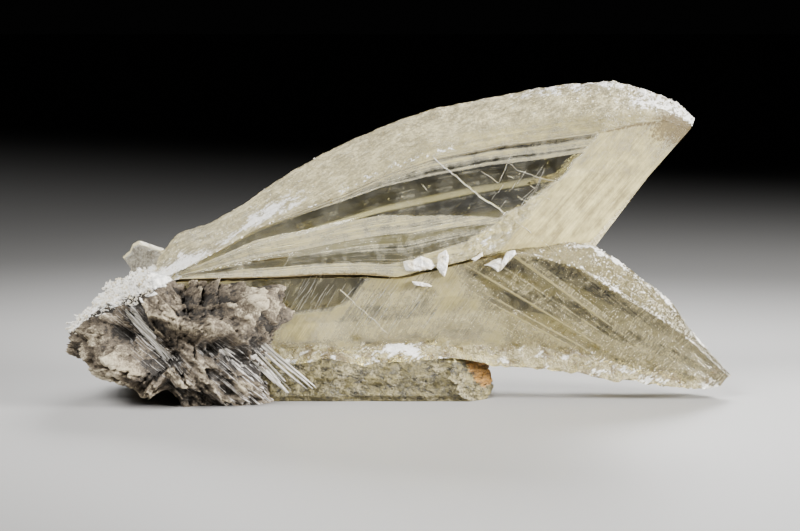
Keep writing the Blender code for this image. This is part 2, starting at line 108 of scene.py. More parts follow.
# The lower blade: ridge X, Y and Z, front top edge X and Z, front bottom edge X and Z, front Y, back Y.
LOWER_STATIONS = np.array([
    (-66.0, 0.0, 29.0, -66.0, 28.0, -66.0, 9.0, -14.0, 12.0),
    (-58.0, 0.0, 33.0, -58.0, 31.4, -58.0, 8.0, -18.2, 15.0),
    (-42.0, 0.0, 34.0, -42.0, 31.8, -42.0, 8.0, -18.2, 17.0),
    (-26.0, 0.0, 34.5, -26.0, 32.5, -26.0, 8.2, -18.2, 17.0),
    (-10.0, 0.0, 35.0, -10.0, 32.7, -11.0, 9.6, -18.2, 17.0),
    (0.0, 0.0, 34.5, 0.0, 32.2, -1.0, 10.6, -18.2, 16.5),
    (9.0, -1.0, 37.0, 9.0, 34.5, 8.0, 11.2, -18.2, 16.0),
    (18.0, -2.0, 39.0, 17.0, 36.5, 15.0, 11.0, -18.2, 15.0),
    (27.0, -3.0, 41.0, 26.0, 38.6, 23.0, 9.6, -18.2, 13.5),
    (33.0, -4.0, 41.3, 31.0, 39.0, 30.0, 8.6, -18.2, 12.0),
    (41.0, -6.0, 41.2, 38.0, 37.5, 37.0, 8.4, -18.2, 10.5),
    (51.3, -8.0, 40.2, 46.0, 35.5, 43.0, 8.2, -18.2, 9.0),
    (58.3, -8.0, 35.9, 54.0, 30.3, 48.0, 7.0, -18.2, 8.0),
    (63.6, -8.0, 31.5, 59.5, 27.0, 52.0, 5.8, -18.2, 7.0),
    (68.9, -8.0, 27.9, 65.5, 23.4, 58.0, 5.4, -18.2, 6.0),
    (72.4, -8.0, 24.7, 69.5, 20.8, 63.3, 5.0, -18.1, 5.0),
    (75.7, -8.0, 19.9, 74.0, 17.6, 69.0, 4.2, -17.8, 4.0),
    (79.7, -8.0, 14.7, 78.2, 14.0, 75.0, 3.5, -17.2, 3.0),
    (83.8, -8.0, 10.4, 82.2, 10.2, 80.4, 2.8, -16.0, 1.0),
    (88.2, -8.5, 5.4, 87.0, 5.8, 85.2, 2.9, -11.5, -6.0),
])

# How far the growth bands are sunk below the broad faces: height from 0 to 1, and depth.
UPPER_SUNK = ((0.0, 0.1, 0.28, 0.42, 0.6, 0.66, 0.92, 1.0), (0.0, 0.35, 0.1, 0.5, 0.0, 0.6, 0.5, 0.0))
LOWER_SUNK = ((0.0, 0.16, 0.32, 0.5, 0.68, 0.86, 1.0), (0.0, 0.5, 0.1, 0.5, 0.0, 0.3, 0.0))

# The upper blade's growth bands, from the seam up: how cloudy each is, and the height from 0 to 1
# of its upper edge at three stations.
BAND_STATIONS = (3.0, 6.6, 9.0)
UPPER_BANDS = (
    (0.90, 0.030, 0.020, 0.020),
    (0.80, 0.170, 0.100, 0.200),
    (0.20, 0.330, 0.200, 0.240),
    (0.42, 0.345, 0.275, 0.280),
    (0.24, 0.360, 0.380, 0.300),
    (0.82, 0.500, 0.430, 0.320),
    (0.45, 0.515, 0.442, 0.330),
    (0.74, 0.730, 0.540, 0.345),
    (0.00, 0.975, 0.840, 0.820),
    (0.85, 0.980, 0.855, 0.850),
    (0.38, 0.985, 0.930, 0.875),
    (0.80, 0.990, 0.965, 0.935),
    (0.15, 0.993, 0.975, 0.982),
    (0.85, 1.001, 1.001, 1.001),
)
# How soft a band's edge is, as a share of the height.
BAND_BLUR = 0.006
# Where the upper blade's clear windows end on the right: Z, and X of the edge there.
WINDOW_END = ((38.0, 41.4, 44.0, 48.5, 53.3, 58.0, 71.2), (12.0, 16.3, 19.7, 26.2, 34.1, 40.9, 51.6))

# The lower wing's growth bands fan out from this point: each one's upper edge in degrees, and its cloud.
WING_FAN = (115.8, -24.0)
WING_BANDS = (
    (28.3, 0.60), (28.55, 1.10), (29.3, 0.45), (29.5, 1.10), (31.2, 0.08), (31.5, 1.35),
    (33.7, 0.40), (33.9, 0.95), (35.8, 0.02), (36.1, 1.20), (37.3, 0.55), (41.6, 0.08), (60.0, 0.60),
)
# How soft its edge is, in degrees.
FAN_BLUR = 0.10
# Where the lower blade's rough lower border ends: X, and Z of its upper edge there.
ROUGH_BORDER = ((-60.0, 10.0, 45.0, 57.0, 75.0, 88.0), (14.6, 16.4, 14.6, 11.6, 6.8, 4.4))
# The grey window at the left of the lower blade: X, and Z of its lower edge there.
GREY_WINDOW = ((-38.0, -28.0, -18.0, -13.0, -9.0), (27.5, 23.2, 24.2, 26.4, 32.0))

# The foot blade: X, front Y, back Y, top Z, and its crystal faces: a point and the way each faces.
FOOT_STATIONS = np.array([
    (-44.0, -16.0, 8.0, 7.0),
    (-41.0, -18.2, 10.6, 10.4),
    (-34.0, -19.4, 12.6, 12.6),
    (-26.0, -19.0, 13.0, 13.0),
    (-17.0, -19.6, 12.8, 13.0),
    (-8.0, -19.0, 13.0, 12.8),
    (1.0, -19.5, 12.6, 13.0),
    (9.0, -19.2, 12.8, 13.0),
    (16.0, -19.6, 12.4, 13.0),
    (25.4, -19.5, 12.0, 12.6),
])
FOOT_FACES = (
    ((25.2, 0.0, 2.0), (1.0, 0.0, 0.24)),
    ((23.6, 0.0, 0.0), (0.8, 0.0, -0.6)),
    ((13.0, -19.5, 9.0), (0.62, -0.72, 0.3)),
    ((16.2, 12.4, 0.0), (0.6, 0.8, 0.1)),
)
FOOT_COLUMNS, FOOT_END_RINGS = 240, 36
# How deep each broken step of the foot's end is.
CHIP_STEP = 0.5

# The side blade: its outline in the front view, X and Z, its depths, how far its rim reaches inwards as a
# share, and how far its faces are from flat.
SIDE_OUTLINE = (
    (-71.5, 24.0), (-70.6, 28.4), (-71.9, 30.3), (-73.0, 32.7), (-75.1, 35.8), (-73.2, 37.4),
    (-72.3, 39.3), (-70.7, 40.1), (-64.2, 37.9), (-62.0, 35.0), (-62.5, 24.0),
)
SIDE_FRONT, SIDE_BACK = 3.0, 9.0
SIDE_RIM, SIDE_BULGE = 0.22, 0.12

# The chipped flakes along the seam, in the same way.
FLAKES = (
    (
        (0.8, 36.9), (3.7, 37.6), (5.5, 38.4), (8.2, 37.4),
        (9.2, 35.9), (8.2, 34.9), (4.7, 34.6), (1.5, 34.4),
    ),
    ((10.0, 38.9), (12.0, 40.1), (12.7, 38.4), (12.2, 35.3), (11.5, 32.9), (9.6, 35.3)),
    ((21.9, 36.1), (24.9, 37.4), (26.4, 37.9), (26.9, 35.9), (25.4, 34.4), (23.9, 35.6)),
    ((25.7, 35.9), (27.9, 39.4), (29.9, 39.9), (30.2, 39.1), (27.9, 36.7), (25.9, 34.4)),
    ((3.2, 31.8), (5.5, 31.6), (8.3, 30.6), (6.2, 30.4), (3.8, 30.9)),
    ((18.5, 37.5), (21.4, 39.4), (21.6, 38.6), (19.2, 37.1)),
)
FLAKE_FRONT, FLAKE_BACK = -19.7, -17.4
FLAKE_RIM, FLAKE_BULGE = 0.4, 0.30
# Rings from a flat piece's middle to its edge, and points round each.
PLATE_RINGS, PLATE_AROUND = 26, 160

# The rock: its outline in the front view round its middle, the oval that it eases to at its front and
# back, its depths, how blunt it is, and how much shorter it is behind the blades.
ROCK_MIDDLE = (-58.0, 15.0)
ROCK_OUTLINE = (
    (-86.5, 15.4), (-85.4, 19.5), (-81.2, 23.6), (-79.0, 26.8), (-72.0, 30.8), (-67.0, 32.2),
    (-61.0, 31.4), (-57.0, 29.8), (-50.5, 30.2), (-44.0, 31.6), (-38.5, 30.2), (-32.5, 30.0),
    (-30.2, 26.2), (-27.4, 22.0), (-31.5, 18.6), (-34.0, 15.5), (-34.6, 9.0), (-33.6, 3.0),
    (-35.5, -3.0), (-55.5, -3.0), (-58.6, 3.8), (-62.0, 4.8), (-65.6, 3.6), (-67.6, 6.4),
    (-75.0, 7.4), (-80.0, 9.8), (-84.0, 11.8),
)
ROCK_OVAL = (27.0, 15.5)
ROCK_FRONT, ROCK_BACK = -32.0, 25.0
ROCK_SIDE_DEPTH = -9.0
ROCK_SQUARENESS = 3.0
ROCK_BACK_SHORTENING = 0.28
ROCK_TURNS, ROCK_RINGS = 440, 210
# Its main forms: X and Z of the middle, half length, half width, turn in degrees, and height.
ROCK_FORMS = (
    (-77.0, 21.8, 8.5, 3.8, 15.0, 3.2),
    (-73.5, 14.0, 8.0, 3.8, -25.0, 3.4),
    (-77.5, 17.8, 8.0, 1.5, 8.0, -2.4),
    (-64.5, 18.0, 12.5, 2.8, -52.0, -5.0),
    (-50.0, 20.4, 15.0, 2.0, -12.0, 4.2),
    (-46.5, 15.6, 6.5, 2.8, -15.0, -4.6),
    (-59.0, 14.4, 4.0, 3.6, 0.0, -2.6),
    (-37.5, 25.4, 8.5, 4.2, -10.0, 3.4),
    (-54.0, 27.6, 7.0, 2.4, -10.0, -3.0),
    (-55.0, 8.2, 5.5, 3.2, -10.0, 3.2),
    (-64.0, 6.8, 5.0, 2.4, 0.0, 1.8),
    (-59.4, 8.0, 3.4, 1.6, 80.0, -3.0),
    (-43.0, 9.6, 6.0, 2.0, -30.0, 1.6),
)
# Its rounded lumps, by size and height.
ROCK_LUMPS = ((10.0, 1.8), (5.0, 1.3), (2.8, 0.8))
# The finer forms that the solid leaves out: broken plates, chunks and grit, by size and height.
ROCK_PLATES = ((3.6, 1.5), (1.7, 0.75))
ROCK_CHUNKS = ((2.6, 0.7), (1.2, 0.38), (0.65, 0.24))
# Its ledges: their pitch, their height and the turn of their way in degrees.
LEDGE_PITCH, LEDGE_HEIGHT, LEDGE_TURN = 4.6, 1.0, -42.0
# The white crust on the rock: its turns in degrees round the front view, and its reach from the front to
# the back, as depths on a ball of radius 1.
ROCK_CRUST_TURN = (112.0, 172.0)
ROCK_CRUST_DEPTH = (-0.62, 0.45)
# White crust on the blades, at the root, the left slope, the tip and the lower wing: stations, station and
# its spread, share of the way from the front edge to the ridge and its spread, and part of all the grains.
BLADE_CRUST_PATCHES = (
    (UPPER_STATIONS, 1.0, 0.8, 0.25, 0.25, 0.36),
    (UPPER_STATIONS, 3.5, 0.6, 0.35, 0.25, 0.16),
    (UPPER_STATIONS, 11.2, 0.8, 0.80, 0.20, 0.22),
    (LOWER_STATIONS, 13.0, 2.2, 0.60, 0.40, 0.26),
)
# How high above the floor the lowest grains and needles lie.
GRAIN_CLEARANCE, NEEDLE_CLEARANCE = 0.02, 0.05

# Bundles of satin splinters: start X, Y and Z, end X, Y and Z, how many, and the bundle's half width.
SPLINTER_BUNDLES = (
    (-43.5, -23.0, 22.0, -22.0, -20.7, 2.8, 9, 1.3),
    (-42.0, -23.4, 17.4, -28.6, -20.9, 2.8, 8, 1.5),
    (-47.0, -26.0, 14.8, -33.6, -21.6, 2.2, 9, 1.8),
    (-51.0, -27.4, 10.6, -42.0, -23.0, 1.4, 6, 1.4),
    (-71.0, -27.8, 26.6, -57.4, -28.6, 11.0, 11, 1.3),
    (-67.0, -28.6, 19.6, -56.8, -27.6, 6.8, 10, 1.6),
    (-49.6, -26.6, 18.4, -43.0, -27.2, 13.0, 6, 1.0),
)
# The way in which a bundle spreads, and the way into the rock.
SPLINTER_SPREAD_WAY = np.array((0.67, 0.0, 0.74))
SPLINTER_INWARD_WAY = np.array((0.0, 1.0, 0.0))

# Cracks inside the upper blade, as X and Z on the front face: half width and the points of each.
CRACKS = (
    (0.09, (8.4, 64.3), (15.2, 58.5), (21.0, 54.0), (25.4, 50.9), (27.5, 49.1)),
    (0.04, (27.5, 49.1), (35.4, 43.3), (40.6, 38.8)),
    (0.020, (21.0, 60.5), (25.7, 57.3), (28.6, 64.3)),
    (0.022, (28.0, 62.6), (31.3, 60.5), (35.0, 59.1), (40.2, 57.9)),
    (0.020, (37.3, 60.7), (35.5, 56.7), (31.3, 53.0)),
    (0.030, (5.5, 57.2), (6.9, 55.4)),
    (0.030, (27.8, 59.3), (29.4, 58.4)),
    (0.035, (-15.7, 29.5), (-9.0, 23.6), (-3.1, 17.7)),
)
# How deep a wide crack goes, and the steps along it.
CRACK_DEPTH = 2.4
CRACK_STEP = 0.8
# Patches of fine scratches: how many, middle X and Z, spread in X and Z, way in degrees, and length.
SCRATCH_PATCHES = (
    (26, -24.0, 28.0, 6.5, 2.6, 60.0, 4.4),
    (34, -3.0, 26.0, 8.0, 3.8, 55.0, 4.0),
    (12, 32.0, 56.0, 4.5, 3.0, 57.0, 3.0),
    (5, 33.0, 56.0, 4.0, 3.0, -24.0, 2.2),
)

# The soft lights, in metres: name, place, and width and height of the box.
LIGHTS = (
    ("key", (-0.28, -0.26, 0.38), (0.30, 0.22)),
    ("rim", (0.10, 0.40, 0.27), (0.40, 0.16)),
    ("fill", (1.10, -0.40, 0.27), (0.48, 0.40)),
)
# The floor's half width in metres.
FLOOR_HALF_SIZE = 20.0
# The camera's sensor in millimetres, and the nearest that it sees in metres.
SENSOR_WIDTH = 36.0
CLIP_START = 0.01


def in_frame(points):
    """Moves places in millimetres on the crystal's own view to metres in the frame."""
    return (np.asarray(points, dtype=float) + SHIFT) * MM


def hashed(cell, seed):
    """A value from -1 to 1 for each cell of a cubic lattice: its place, mixed by large odd numbers."""
    x, y, z = np.moveaxis(cell, -1, 0)
    key = (x * 73856093 ^ y * 19349663 ^ z * 83492791 ^ (seed + 1) * 26544357) & 0xFFFFFF
    key = (key * 1103515 ^ key >> 7) & 0xFFFFFF
    key = (key * 69069 ^ key >> 11) & 0xFFFF
    return key / 32767.5 - 1.0


def smooth_noise(points, size, seed=0):
    """Smooth values from -1 to 1: hashed values on a cubic lattice, blended between its corners."""
    place = np.asarray(points, dtype=float) / size
    cell = np.floor(place).astype(np.int64)
    part = place - cell
    part = part * part * (3.0 - 2.0 * part)
    total = 0.0
    for corner in itertools.product((0, 1), repeat=3):
        weight = np.prod(np.where(corner, part, 1.0 - part), axis=-1)
        total = total + hashed(cell + corner, seed) * weight
    return total


def layered_noise(points, *layers):
    """A sum of smooth noises, each given by its height, its size and its seed."""
    return sum(height * smooth_noise(points, size, seed) for height, size, seed in layers)


def chunks(points, size, seed):
    """Broken chunks: each place belongs to the nearest of many scattered centres, one to a cell.

    Gives how far the place lies along that centre's own tilt, plus a height that the whole chunk shares.
    """
    place = np.asarray(points, dtype=float) / size
    cell = np.floor(place).astype(np.int64)
    nearest = np.full(place.shape[:-1], np.inf)
    height = np.zeros(place.shape[:-1])
    for corner in itertools.product((-1, 0, 1), repeat=3):
        spot = cell + corner
        shake = np.stack([hashed(spot, seed + i) for i in range(3)], axis=-1)
        offset = place - (spot + 0.5 + 0.45 * shake)
        distance = (offset ** 2).sum(axis=-1)
        tilted = (offset * shake[..., ::-1]).sum(axis=-1) + 0.5 * hashed(spot, seed + 3)
        height = np.where(distance < nearest, tilted, height)
        nearest = np.minimum(distance, nearest)
    return height


def rise(value, low, high):
    """A smooth step: 0 below low, 1 above high, and 3t^2 - 2t^3 between them."""
    t = np.clip((np.asarray(value, dtype=float) - low) / (high - low), 0.0, 1.0)
    return t * t * (3.0 - 2.0 * t)


def bell(value, middle, width):
    """A bump of height 1 round the middle: the Gaussian of the distance over the width."""
    return np.exp(-((np.asarray(value, dtype=float) - middle) / width) ** 2)


def banded(value, edges, clouds, blur):
    """A row of bands: the first one's cloud, and at each edge a smooth step to the next one's."""
    total = np.full(value.shape, clouds[0])
    for edge, below, above in zip(edges, clouds[:-1], clouds[1:]):
        total += (above - below) * rise(value, edge - blur, edge + blur)
    return total


def lengths_along(points):
    """How far along a line of points each of them lies."""
    return np.concatenate([[0.0], np.cumsum(np.hypot(*np.diff(points, axis=0).T))])


def rows_at(stations, at):
    """The rows of a table at places between its stations, on straight lines."""
    return np.stack([np.interp(at, np.arange(len(stations)), column) for column in stations.T], axis=1)


def resample(stations, count):
    """Rows at even steps along the blade, with each column averaged over a few neighbours."""
    length = lengths_along(stations[:, :2] * 0.5 + stations[:, 3:5] * 0.5)
    at = np.interp(np.linspace(0.0, length[-1], count), length, np.arange(len(stations)))
    rows = rows_at(stations, at)
    weights = np.ones(SMOOTHED_OVER) / SMOOTHED_OVER
    half = SMOOTHED_OVER // 2
    for column in range(rows.shape[1]):
        line = rows[:, column]
        before, after = 2 * line[0] - line[half:0:-1], 2 * line[-1] - line[-2:-half - 2:-1]
        rows[:, column] = np.convolve(np.concatenate([before, line, after]), weights, mode="valid")
    return at, rows


def stretch(start, end, count):
    """Points from start to end in even steps, the end left out: arrays [column, step, XYZ]."""
    share = np.linspace(0.0, 1.0, count, endpoint=False)[None, :, None]
    return start[:, None, :] + (end - start)[:, None, :] * share


def columns_of(*parts):
    """Puts single numbers and columns of numbers together as XYZ places."""
    return np.stack(np.broadcast_arrays(*parts), axis=-1).astype(float)


def mesh_of(name, points, faces):
    """A mesh from places in millimetres on the crystal's own view."""
    mesh = bpy.data.meshes.new(name)
    mesh.from_pydata(in_frame(points), [], faces)
    return mesh


def tube_faces(columns, rows, start=0):
    """Quads between the neighbouring rings of a grid [column, row] whose rows close on themselves.

    Gives each point's number, the number of the point ahead of it in its ring, and the quads.
    """
    index = np.arange(columns * rows).reshape(columns, rows) + start
    ahead = np.roll(index, -1, axis=1)
    quads = np.stack([index[:-1], ahead[:-1], ahead[1:], index[1:]], axis=-1).reshape(-1, 4)
    return index, ahead, quads


def body_mesh(name, grid, layers):
    """A closed skin over a grid [column, row]: rows run round the section, both ends are fans.

    layers holds values [column, row] that the material reads as attributes of those names. One more,
    given, is 1 at every point, and tells these points from those that a Boolean makes.
    """
    columns, rows, _ = grid.shape
    index, ahead, quads = tube_faces(columns, rows)
    first, last = columns * rows, columns * rows + 1
    start_fan = np.stack([np.full(rows, first), ahead[0], index[0]], axis=-1)
    end_fan = np.stack([np.full(rows, last), index[-1], ahead[-1]], axis=-1)
    points = np.concatenate([grid.reshape(-1, 3), grid[[0, -1]].mean(axis=1)])
    mesh = mesh_of(name, points, quads.tolist() + start_fan.tolist() + end_fan.tolist())
    for layer, values in {**layers, "given": np.ones(grid.shape[:2])}.items():
        ends = values[[0, -1]].mean(axis=1)
        flat = np.concatenate([values.reshape(-1), ends]).astype(np.float32)
        mesh.attributes.new(layer, "FLOAT", "POINT").data.foreach_set("value", flat)
    face_outwards(mesh)
    return mesh


def face_outwards(mesh):
    """Turns every face of a closed mesh outwards."""
    shape = bmesh.new()
    shape.from_mesh(mesh)
    bmesh.ops.recalc_face_normals(shape, faces=shape.faces)
    shape.to_mesh(mesh)
    shape.free()


def put_in_scene(name, data):
    """A new object with this data, linked into the scene."""
    made = bpy.data.objects.new(name, data)
    bpy.context.scene.collection.objects.link(made)
    return made


def new_piece(name, mesh, material, sharp_degrees=SHARP_DEGREES):
    """An object of the specimen: shaded smooth but for its sharp edges, riding on the root body."""
    mesh.shade_smooth()
    mesh.set_sharp_from_angle(angle=math.radians(sharp_degrees))
    mesh.materials.clear()
    mesh.materials.append(material)
    if "given" in mesh.attributes:
        mesh.attributes.remove(mesh.attributes["given"])
    piece = put_in_scene(name, mesh)
    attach(piece, "root")
    return piece


def combined_mesh(mesh, other, operation):
    """The mesh after a Boolean with the other mesh, both closed, by the manifold solver."""
    objects = [put_in_scene("working_" + part.name, part) for part in (mesh, other)]
    modifier = objects[0].modifiers.new("combine", "BOOLEAN")
    modifier.operation = operation
    modifier.solver = "MANIFOLD"
    modifier.object = objects[1]
    bpy.context.view_layer.update()
    graph = bpy.context.evaluated_depsgraph_get()
    result = bpy.data.meshes.new_from_object(
        objects[0].evaluated_get(graph), preserve_all_data_layers=True, depsgraph=graph,
    )
    for obj in objects:
        bpy.data.objects.remove(obj)
    spread_layers(result)
    return result


def spread_layers(mesh):
    """Gives each vertex that a Boolean made, which has no layers, those of the nearest one that has."""
    count = len(mesh.vertices)
    places, given = np.empty(count * 3), np.empty(count)
    mesh.vertices.foreach_get("co", places)
    places = places.reshape(-1, 3)
    mesh.attributes["given"].data.foreach_get("value", given)
    tree = KDTree(count)
    for index in np.flatnonzero(given > 0.5).tolist():
        tree.insert(places[index], index)
    tree.balance()
    bare = np.flatnonzero(given <= 0.5)
    nearest = [tree.find(place)[1] for place in places[bare]]
    for layer in mesh.attributes:
        if layer.data_type == "FLOAT" and layer.domain == "POINT":
            values = np.empty(count, dtype=np.float32)
            layer.data.foreach_get("value", values)
            values[bare] = values[nearest]
            layer.data.foreach_set("value", values)


def twin_room():
    """A cutter with the twin's place in the rock: a copy of its solid, moved out by the gap."""
    shape = bmesh.new()
    shape.from_mesh(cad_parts["selenite_twin"].data)
    bmesh.ops.remove_doubles(shape, verts=shape.verts, dist=MERGE_DISTANCE)
    shape.normal_update()
    moves = [
        vert.normal * (ROOM_GAP * MM * min(vert.calc_shell_factor(), MOST_STRETCH)) for vert in shape.verts
    ]
    for vert, move in zip(shape.verts, moves):
        vert.co += move
    mesh = bpy.data.meshes.new("twin_room")
    shape.to_mesh(mesh)
    shape.free()
    return mesh


class Finish:
    """A material under construction: short names for the shader nodes that the finishes use."""

    def __init__(self, name):
        self.material = bpy.data.materials.new(name)
        self.material.use_nodes = True
        self.tree = self.material.node_tree
        self.shader = self.tree.nodes["Principled BSDF"]
        self.output = self.tree.nodes["Material Output"]

    def node(self, kind, **settings):
        made = self.tree.nodes.new(kind)
        for key, value in settings.items():
            setattr(made, key, value)
        return made

    def feed(self, socket, value):
        """Links an output to a socket, or sets a number or colour on it."""
        if isinstance(value, bpy.types.NodeSocket):
            self.tree.links.new(value, socket)
        else:
            socket.default_value = value

    def place(self):
        return self.node("ShaderNodeTexCoord").outputs["Object"]

    def layer(self, name):
        return self.node("ShaderNodeAttribute", attribute_name=name).outputs["Fac"]

    def along(self, scale, degrees):
        """Object coordinates turned about Y and stretched, for streaks along a way in the front view."""
        turn = self.node("ShaderNodeMapping", vector_type="TEXTURE")
        self.feed(turn.inputs["Vector"], self.place())
        turn.inputs["Rotation"].default_value = (0.0, math.radians(-degrees), 0.0)
        turn.inputs["Scale"].default_value = scale
        return turn.outputs["Vector"]

    def joined(self, x, y):
        pack = self.node("ShaderNodeCombineXYZ")
        for socket, value in zip(pack.inputs, (x, y)):
            self.feed(socket, value)
        return pack.outputs["Vector"]

    def noise(self, vector, scale, detail, roughness, distortion=0.0):
        made = self.node("ShaderNodeTexNoise")
        settings = {
            "Vector": vector, "Scale": scale, "Detail": detail, "Roughness": roughness,
            "Distortion": distortion,
        }
        for socket, value in settings.items():
            self.feed(made.inputs[socket], value)
        return made.outputs[0]

    def sum(self, *values):
        total = values[0]
        for value in values[1:]:
            total = self.math("ADD", total, value)
        return total

    def math(self, operation, first, second, clamp=False):
        made = self.node("ShaderNodeMath", operation=operation, use_clamp=clamp)
        self.feed(made.inputs[0], first)
        self.feed(made.inputs[1], second)
        return made.outputs[0]

    def times(self, first, second):
        return self.math("MULTIPLY", first, second)

    def most(self, first, second):
        return self.math("MAXIMUM", first, second)

    def inverse(self, value, clamp=False):
        """One less the value."""
        return self.math("SUBTRACT", 1.0, value, clamp)

    def swing(self, value, amount, middle=0.5):
        """How far a value lies above or below its middle, times an amount."""
        return self.times(self.math("SUBTRACT", value, middle), amount)

    def step(self, value, low, high, start=0.0, end=1.0):
        """A smooth step of a value between low and high, from start to end."""
        made = self.node("ShaderNodeMapRange", interpolation_type="SMOOTHSTEP")
        for socket, number in zip(made.inputs, (value, low, high, start, end)):
            self.feed(socket, number)
        return made.outputs[0]

    def blend(self, factor, first, second):
        """A colour between two colours."""
        made = self.node("ShaderNodeMix", data_type="RGBA")
        for number, value in ((0, factor), (6, first), (7, second)):
            if isinstance(value, tuple):
                value = (*value, 1.0)
            self.feed(made.inputs[number], value)
        return made.outputs[2]

    def bump(self, height, distance, strength):
        made = self.node("ShaderNodeBump")
        self.feed(made.inputs["Height"], height)
        self.feed(made.inputs["Strength"], strength)
        made.inputs["Distance"].default_value = distance
        self.feed(self.shader.inputs["Normal"], made.outputs["Normal"])

    def set(self, **values):
        """Feeds the shader's sockets: base_color becomes Base Color, and so on."""
        for key, value in values.items():
            name = {"ior": "IOR"}.get(key, key.replace("_", " ").title())
            if isinstance(value, tuple) and len(value) == 3:
                value = (*value, 1.0)
            self.feed(self.shader.inputs[name], value)

    def absorb(self, colour, density):
        """Light lost inside the body, by plain absorption."""
        volume = self.node("ShaderNodeVolumeAbsorption")
        volume.inputs["Color"].default_value = (*colour, 1.0)
        volume.inputs["Density"].default_value = density
        self.feed(self.output.inputs["Volume"], volume.outputs[0])


def clear_selenite(look):
    """The twin's finish: clear windows, cloudy cream bands, etched faces and white crusts."""
    f = Finish("clear_selenite")
    cloud, frost, white, tint = (f.layer(name) for name in ("cloud", "frost", "white", "tint"))
    upper, wing, stain, streaks = (f.layer(name) for name in ("upper", "wing", "stain", "streaks"))
    along, across = f.layer("along"), f.layer("across")
    bands = f.noise(f.joined(f.times(along, 0.010), f.times(across, 0.45)), 1.0, 3.0, 0.6)
    hairs = f.noise(f.joined(f.times(along, 0.022), f.times(across, 2.2)), 1.0, 3.0, 0.7)
    slanted = f.noise(f.along((0.020, 0.004, 0.00042), 57.0), 1.0, 3.0, 0.65)
    crackle = f.noise(f.along((0.00035, 0.003, 0.0022), -38.0), 1.0, 3.0, 0.7, 0.5)
    grain = f.noise(f.along((0.0034, 0.0016, 0.0007), 32.0), 1.0, 4.0, 0.72)
    mist = f.noise(f.place(), 260.0, 5.0, 0.62)
    dust = f.noise(f.place(), 720.0, 4.0, 0.7)
    grit = f.noise(f.place(), 1500.0, 3.0, 0.65)
    mottle, speck = f.math("SUBTRACT", mist, 0.5), f.math("SUBTRACT", grit, 0.5)

    # Streaks follow the growth bands on the upper blade and the wing, and slant on the rest.
    on_bands = f.inverse(f.times(f.inverse(upper), f.inverse(wing)))
    lines = f.times(streaks, f.sum(
        f.times(f.swing(bands, 1.1), on_bands),
        f.times(f.swing(hairs, 1.3), on_bands),
        f.times(f.swing(slanted, 1.5, 0.45), f.inverse(on_bands)),
    ))
    veil = f.sum(
        cloud, f.times(lines, 0.75), f.times(mottle, 0.9), f.swing(dust, 0.8),
        f.times(f.times(f.step(crackle, 0.53, 0.60), 0.34), wing),
        f.times(f.times(speck, 0.9), wing),
    )
    cloudy = f.step(veil, 0.04, 1.15)
    # White crust; on the lower blade's rough border its flecks are painted glints.
    crust = f.step(f.sum(white, f.times(speck, 0.9), mottle, f.swing(grain, 1.6)), 0.46, 0.58)
    fleck = f.times(f.step(f.sum(grain, f.times(white, 0.25)), 0.64, 0.69), frost)
    crust = f.most(crust, f.times(fleck, 0.85))
    etched = f.step(f.sum(frost, f.times(speck, 0.5)), 0.25, 0.75)
    weave = f.sum(f.swing(grain, 1.8), f.times(speck, 1.2), f.times(mottle, 0.9))
    stained = f.step(f.sum(stain, f.times(speck, 1.6), f.swing(dust, 1.2)), 0.36, 0.66)

    cream = f.blend(f.step(f.sum(mottle, lines), -0.30, 0.35), look.cream_dark[:], look.cream[:])
    cream = f.blend(tint, cream, look.olive[:])
    colour = f.blend(cloudy, f.blend(tint, look.clear[:], look.smoky[:]), cream)
    frosted = f.blend(f.step(weave, -0.30, 0.34), look.frosted_dark[:], look.frosted[:])
    colour = f.blend(f.times(etched, 0.85), colour, frosted)
    colour = f.blend(f.times(stained, 0.85), colour, look.brown[:])
    colour = f.blend(crust, colour, look.white[:])

    # How solid each place is: a faint haze in the windows, and more in the veils, frost and crusts.
    haze = f.step(f.sum(mist, f.swing(hairs, 0.5)), 0.36, 0.66, 0.010, 0.050)
    milky = f.sum(f.most(f.times(cloudy, look.cloud_opacity), haze), f.step(cloud, 1.0, 1.6, 0.0, 0.3))
    rough_skin = f.times(etched, f.step(weave, -0.35, 0.35, 0.35, 0.80))
    solid = f.most(f.most(f.most(milky, rough_skin), crust), f.times(stained, 0.6))
    skin = f.most(etched, crust)
    f.set(
        base_color=colour,
        transmission_weight=f.inverse(solid, clamp=True),
        roughness=f.most(f.step(cloudy, 0.0, 1.0, 0.04, 0.36), f.times(skin, 0.55)),
        ior=CRYSTAL_IOR,
    )
    f.absorb(look.absorption[:], look.absorption_density)
    relief = f.sum(
        f.times(f.sum(f.times(grit, 0.7), f.times(grain, 1.3)), skin),
        f.times(f.sum(f.times(mist, 0.4), f.times(lines, 0.4)), cloudy),
    )
    f.bump(relief, 0.0006, 0.7)
    return f.material


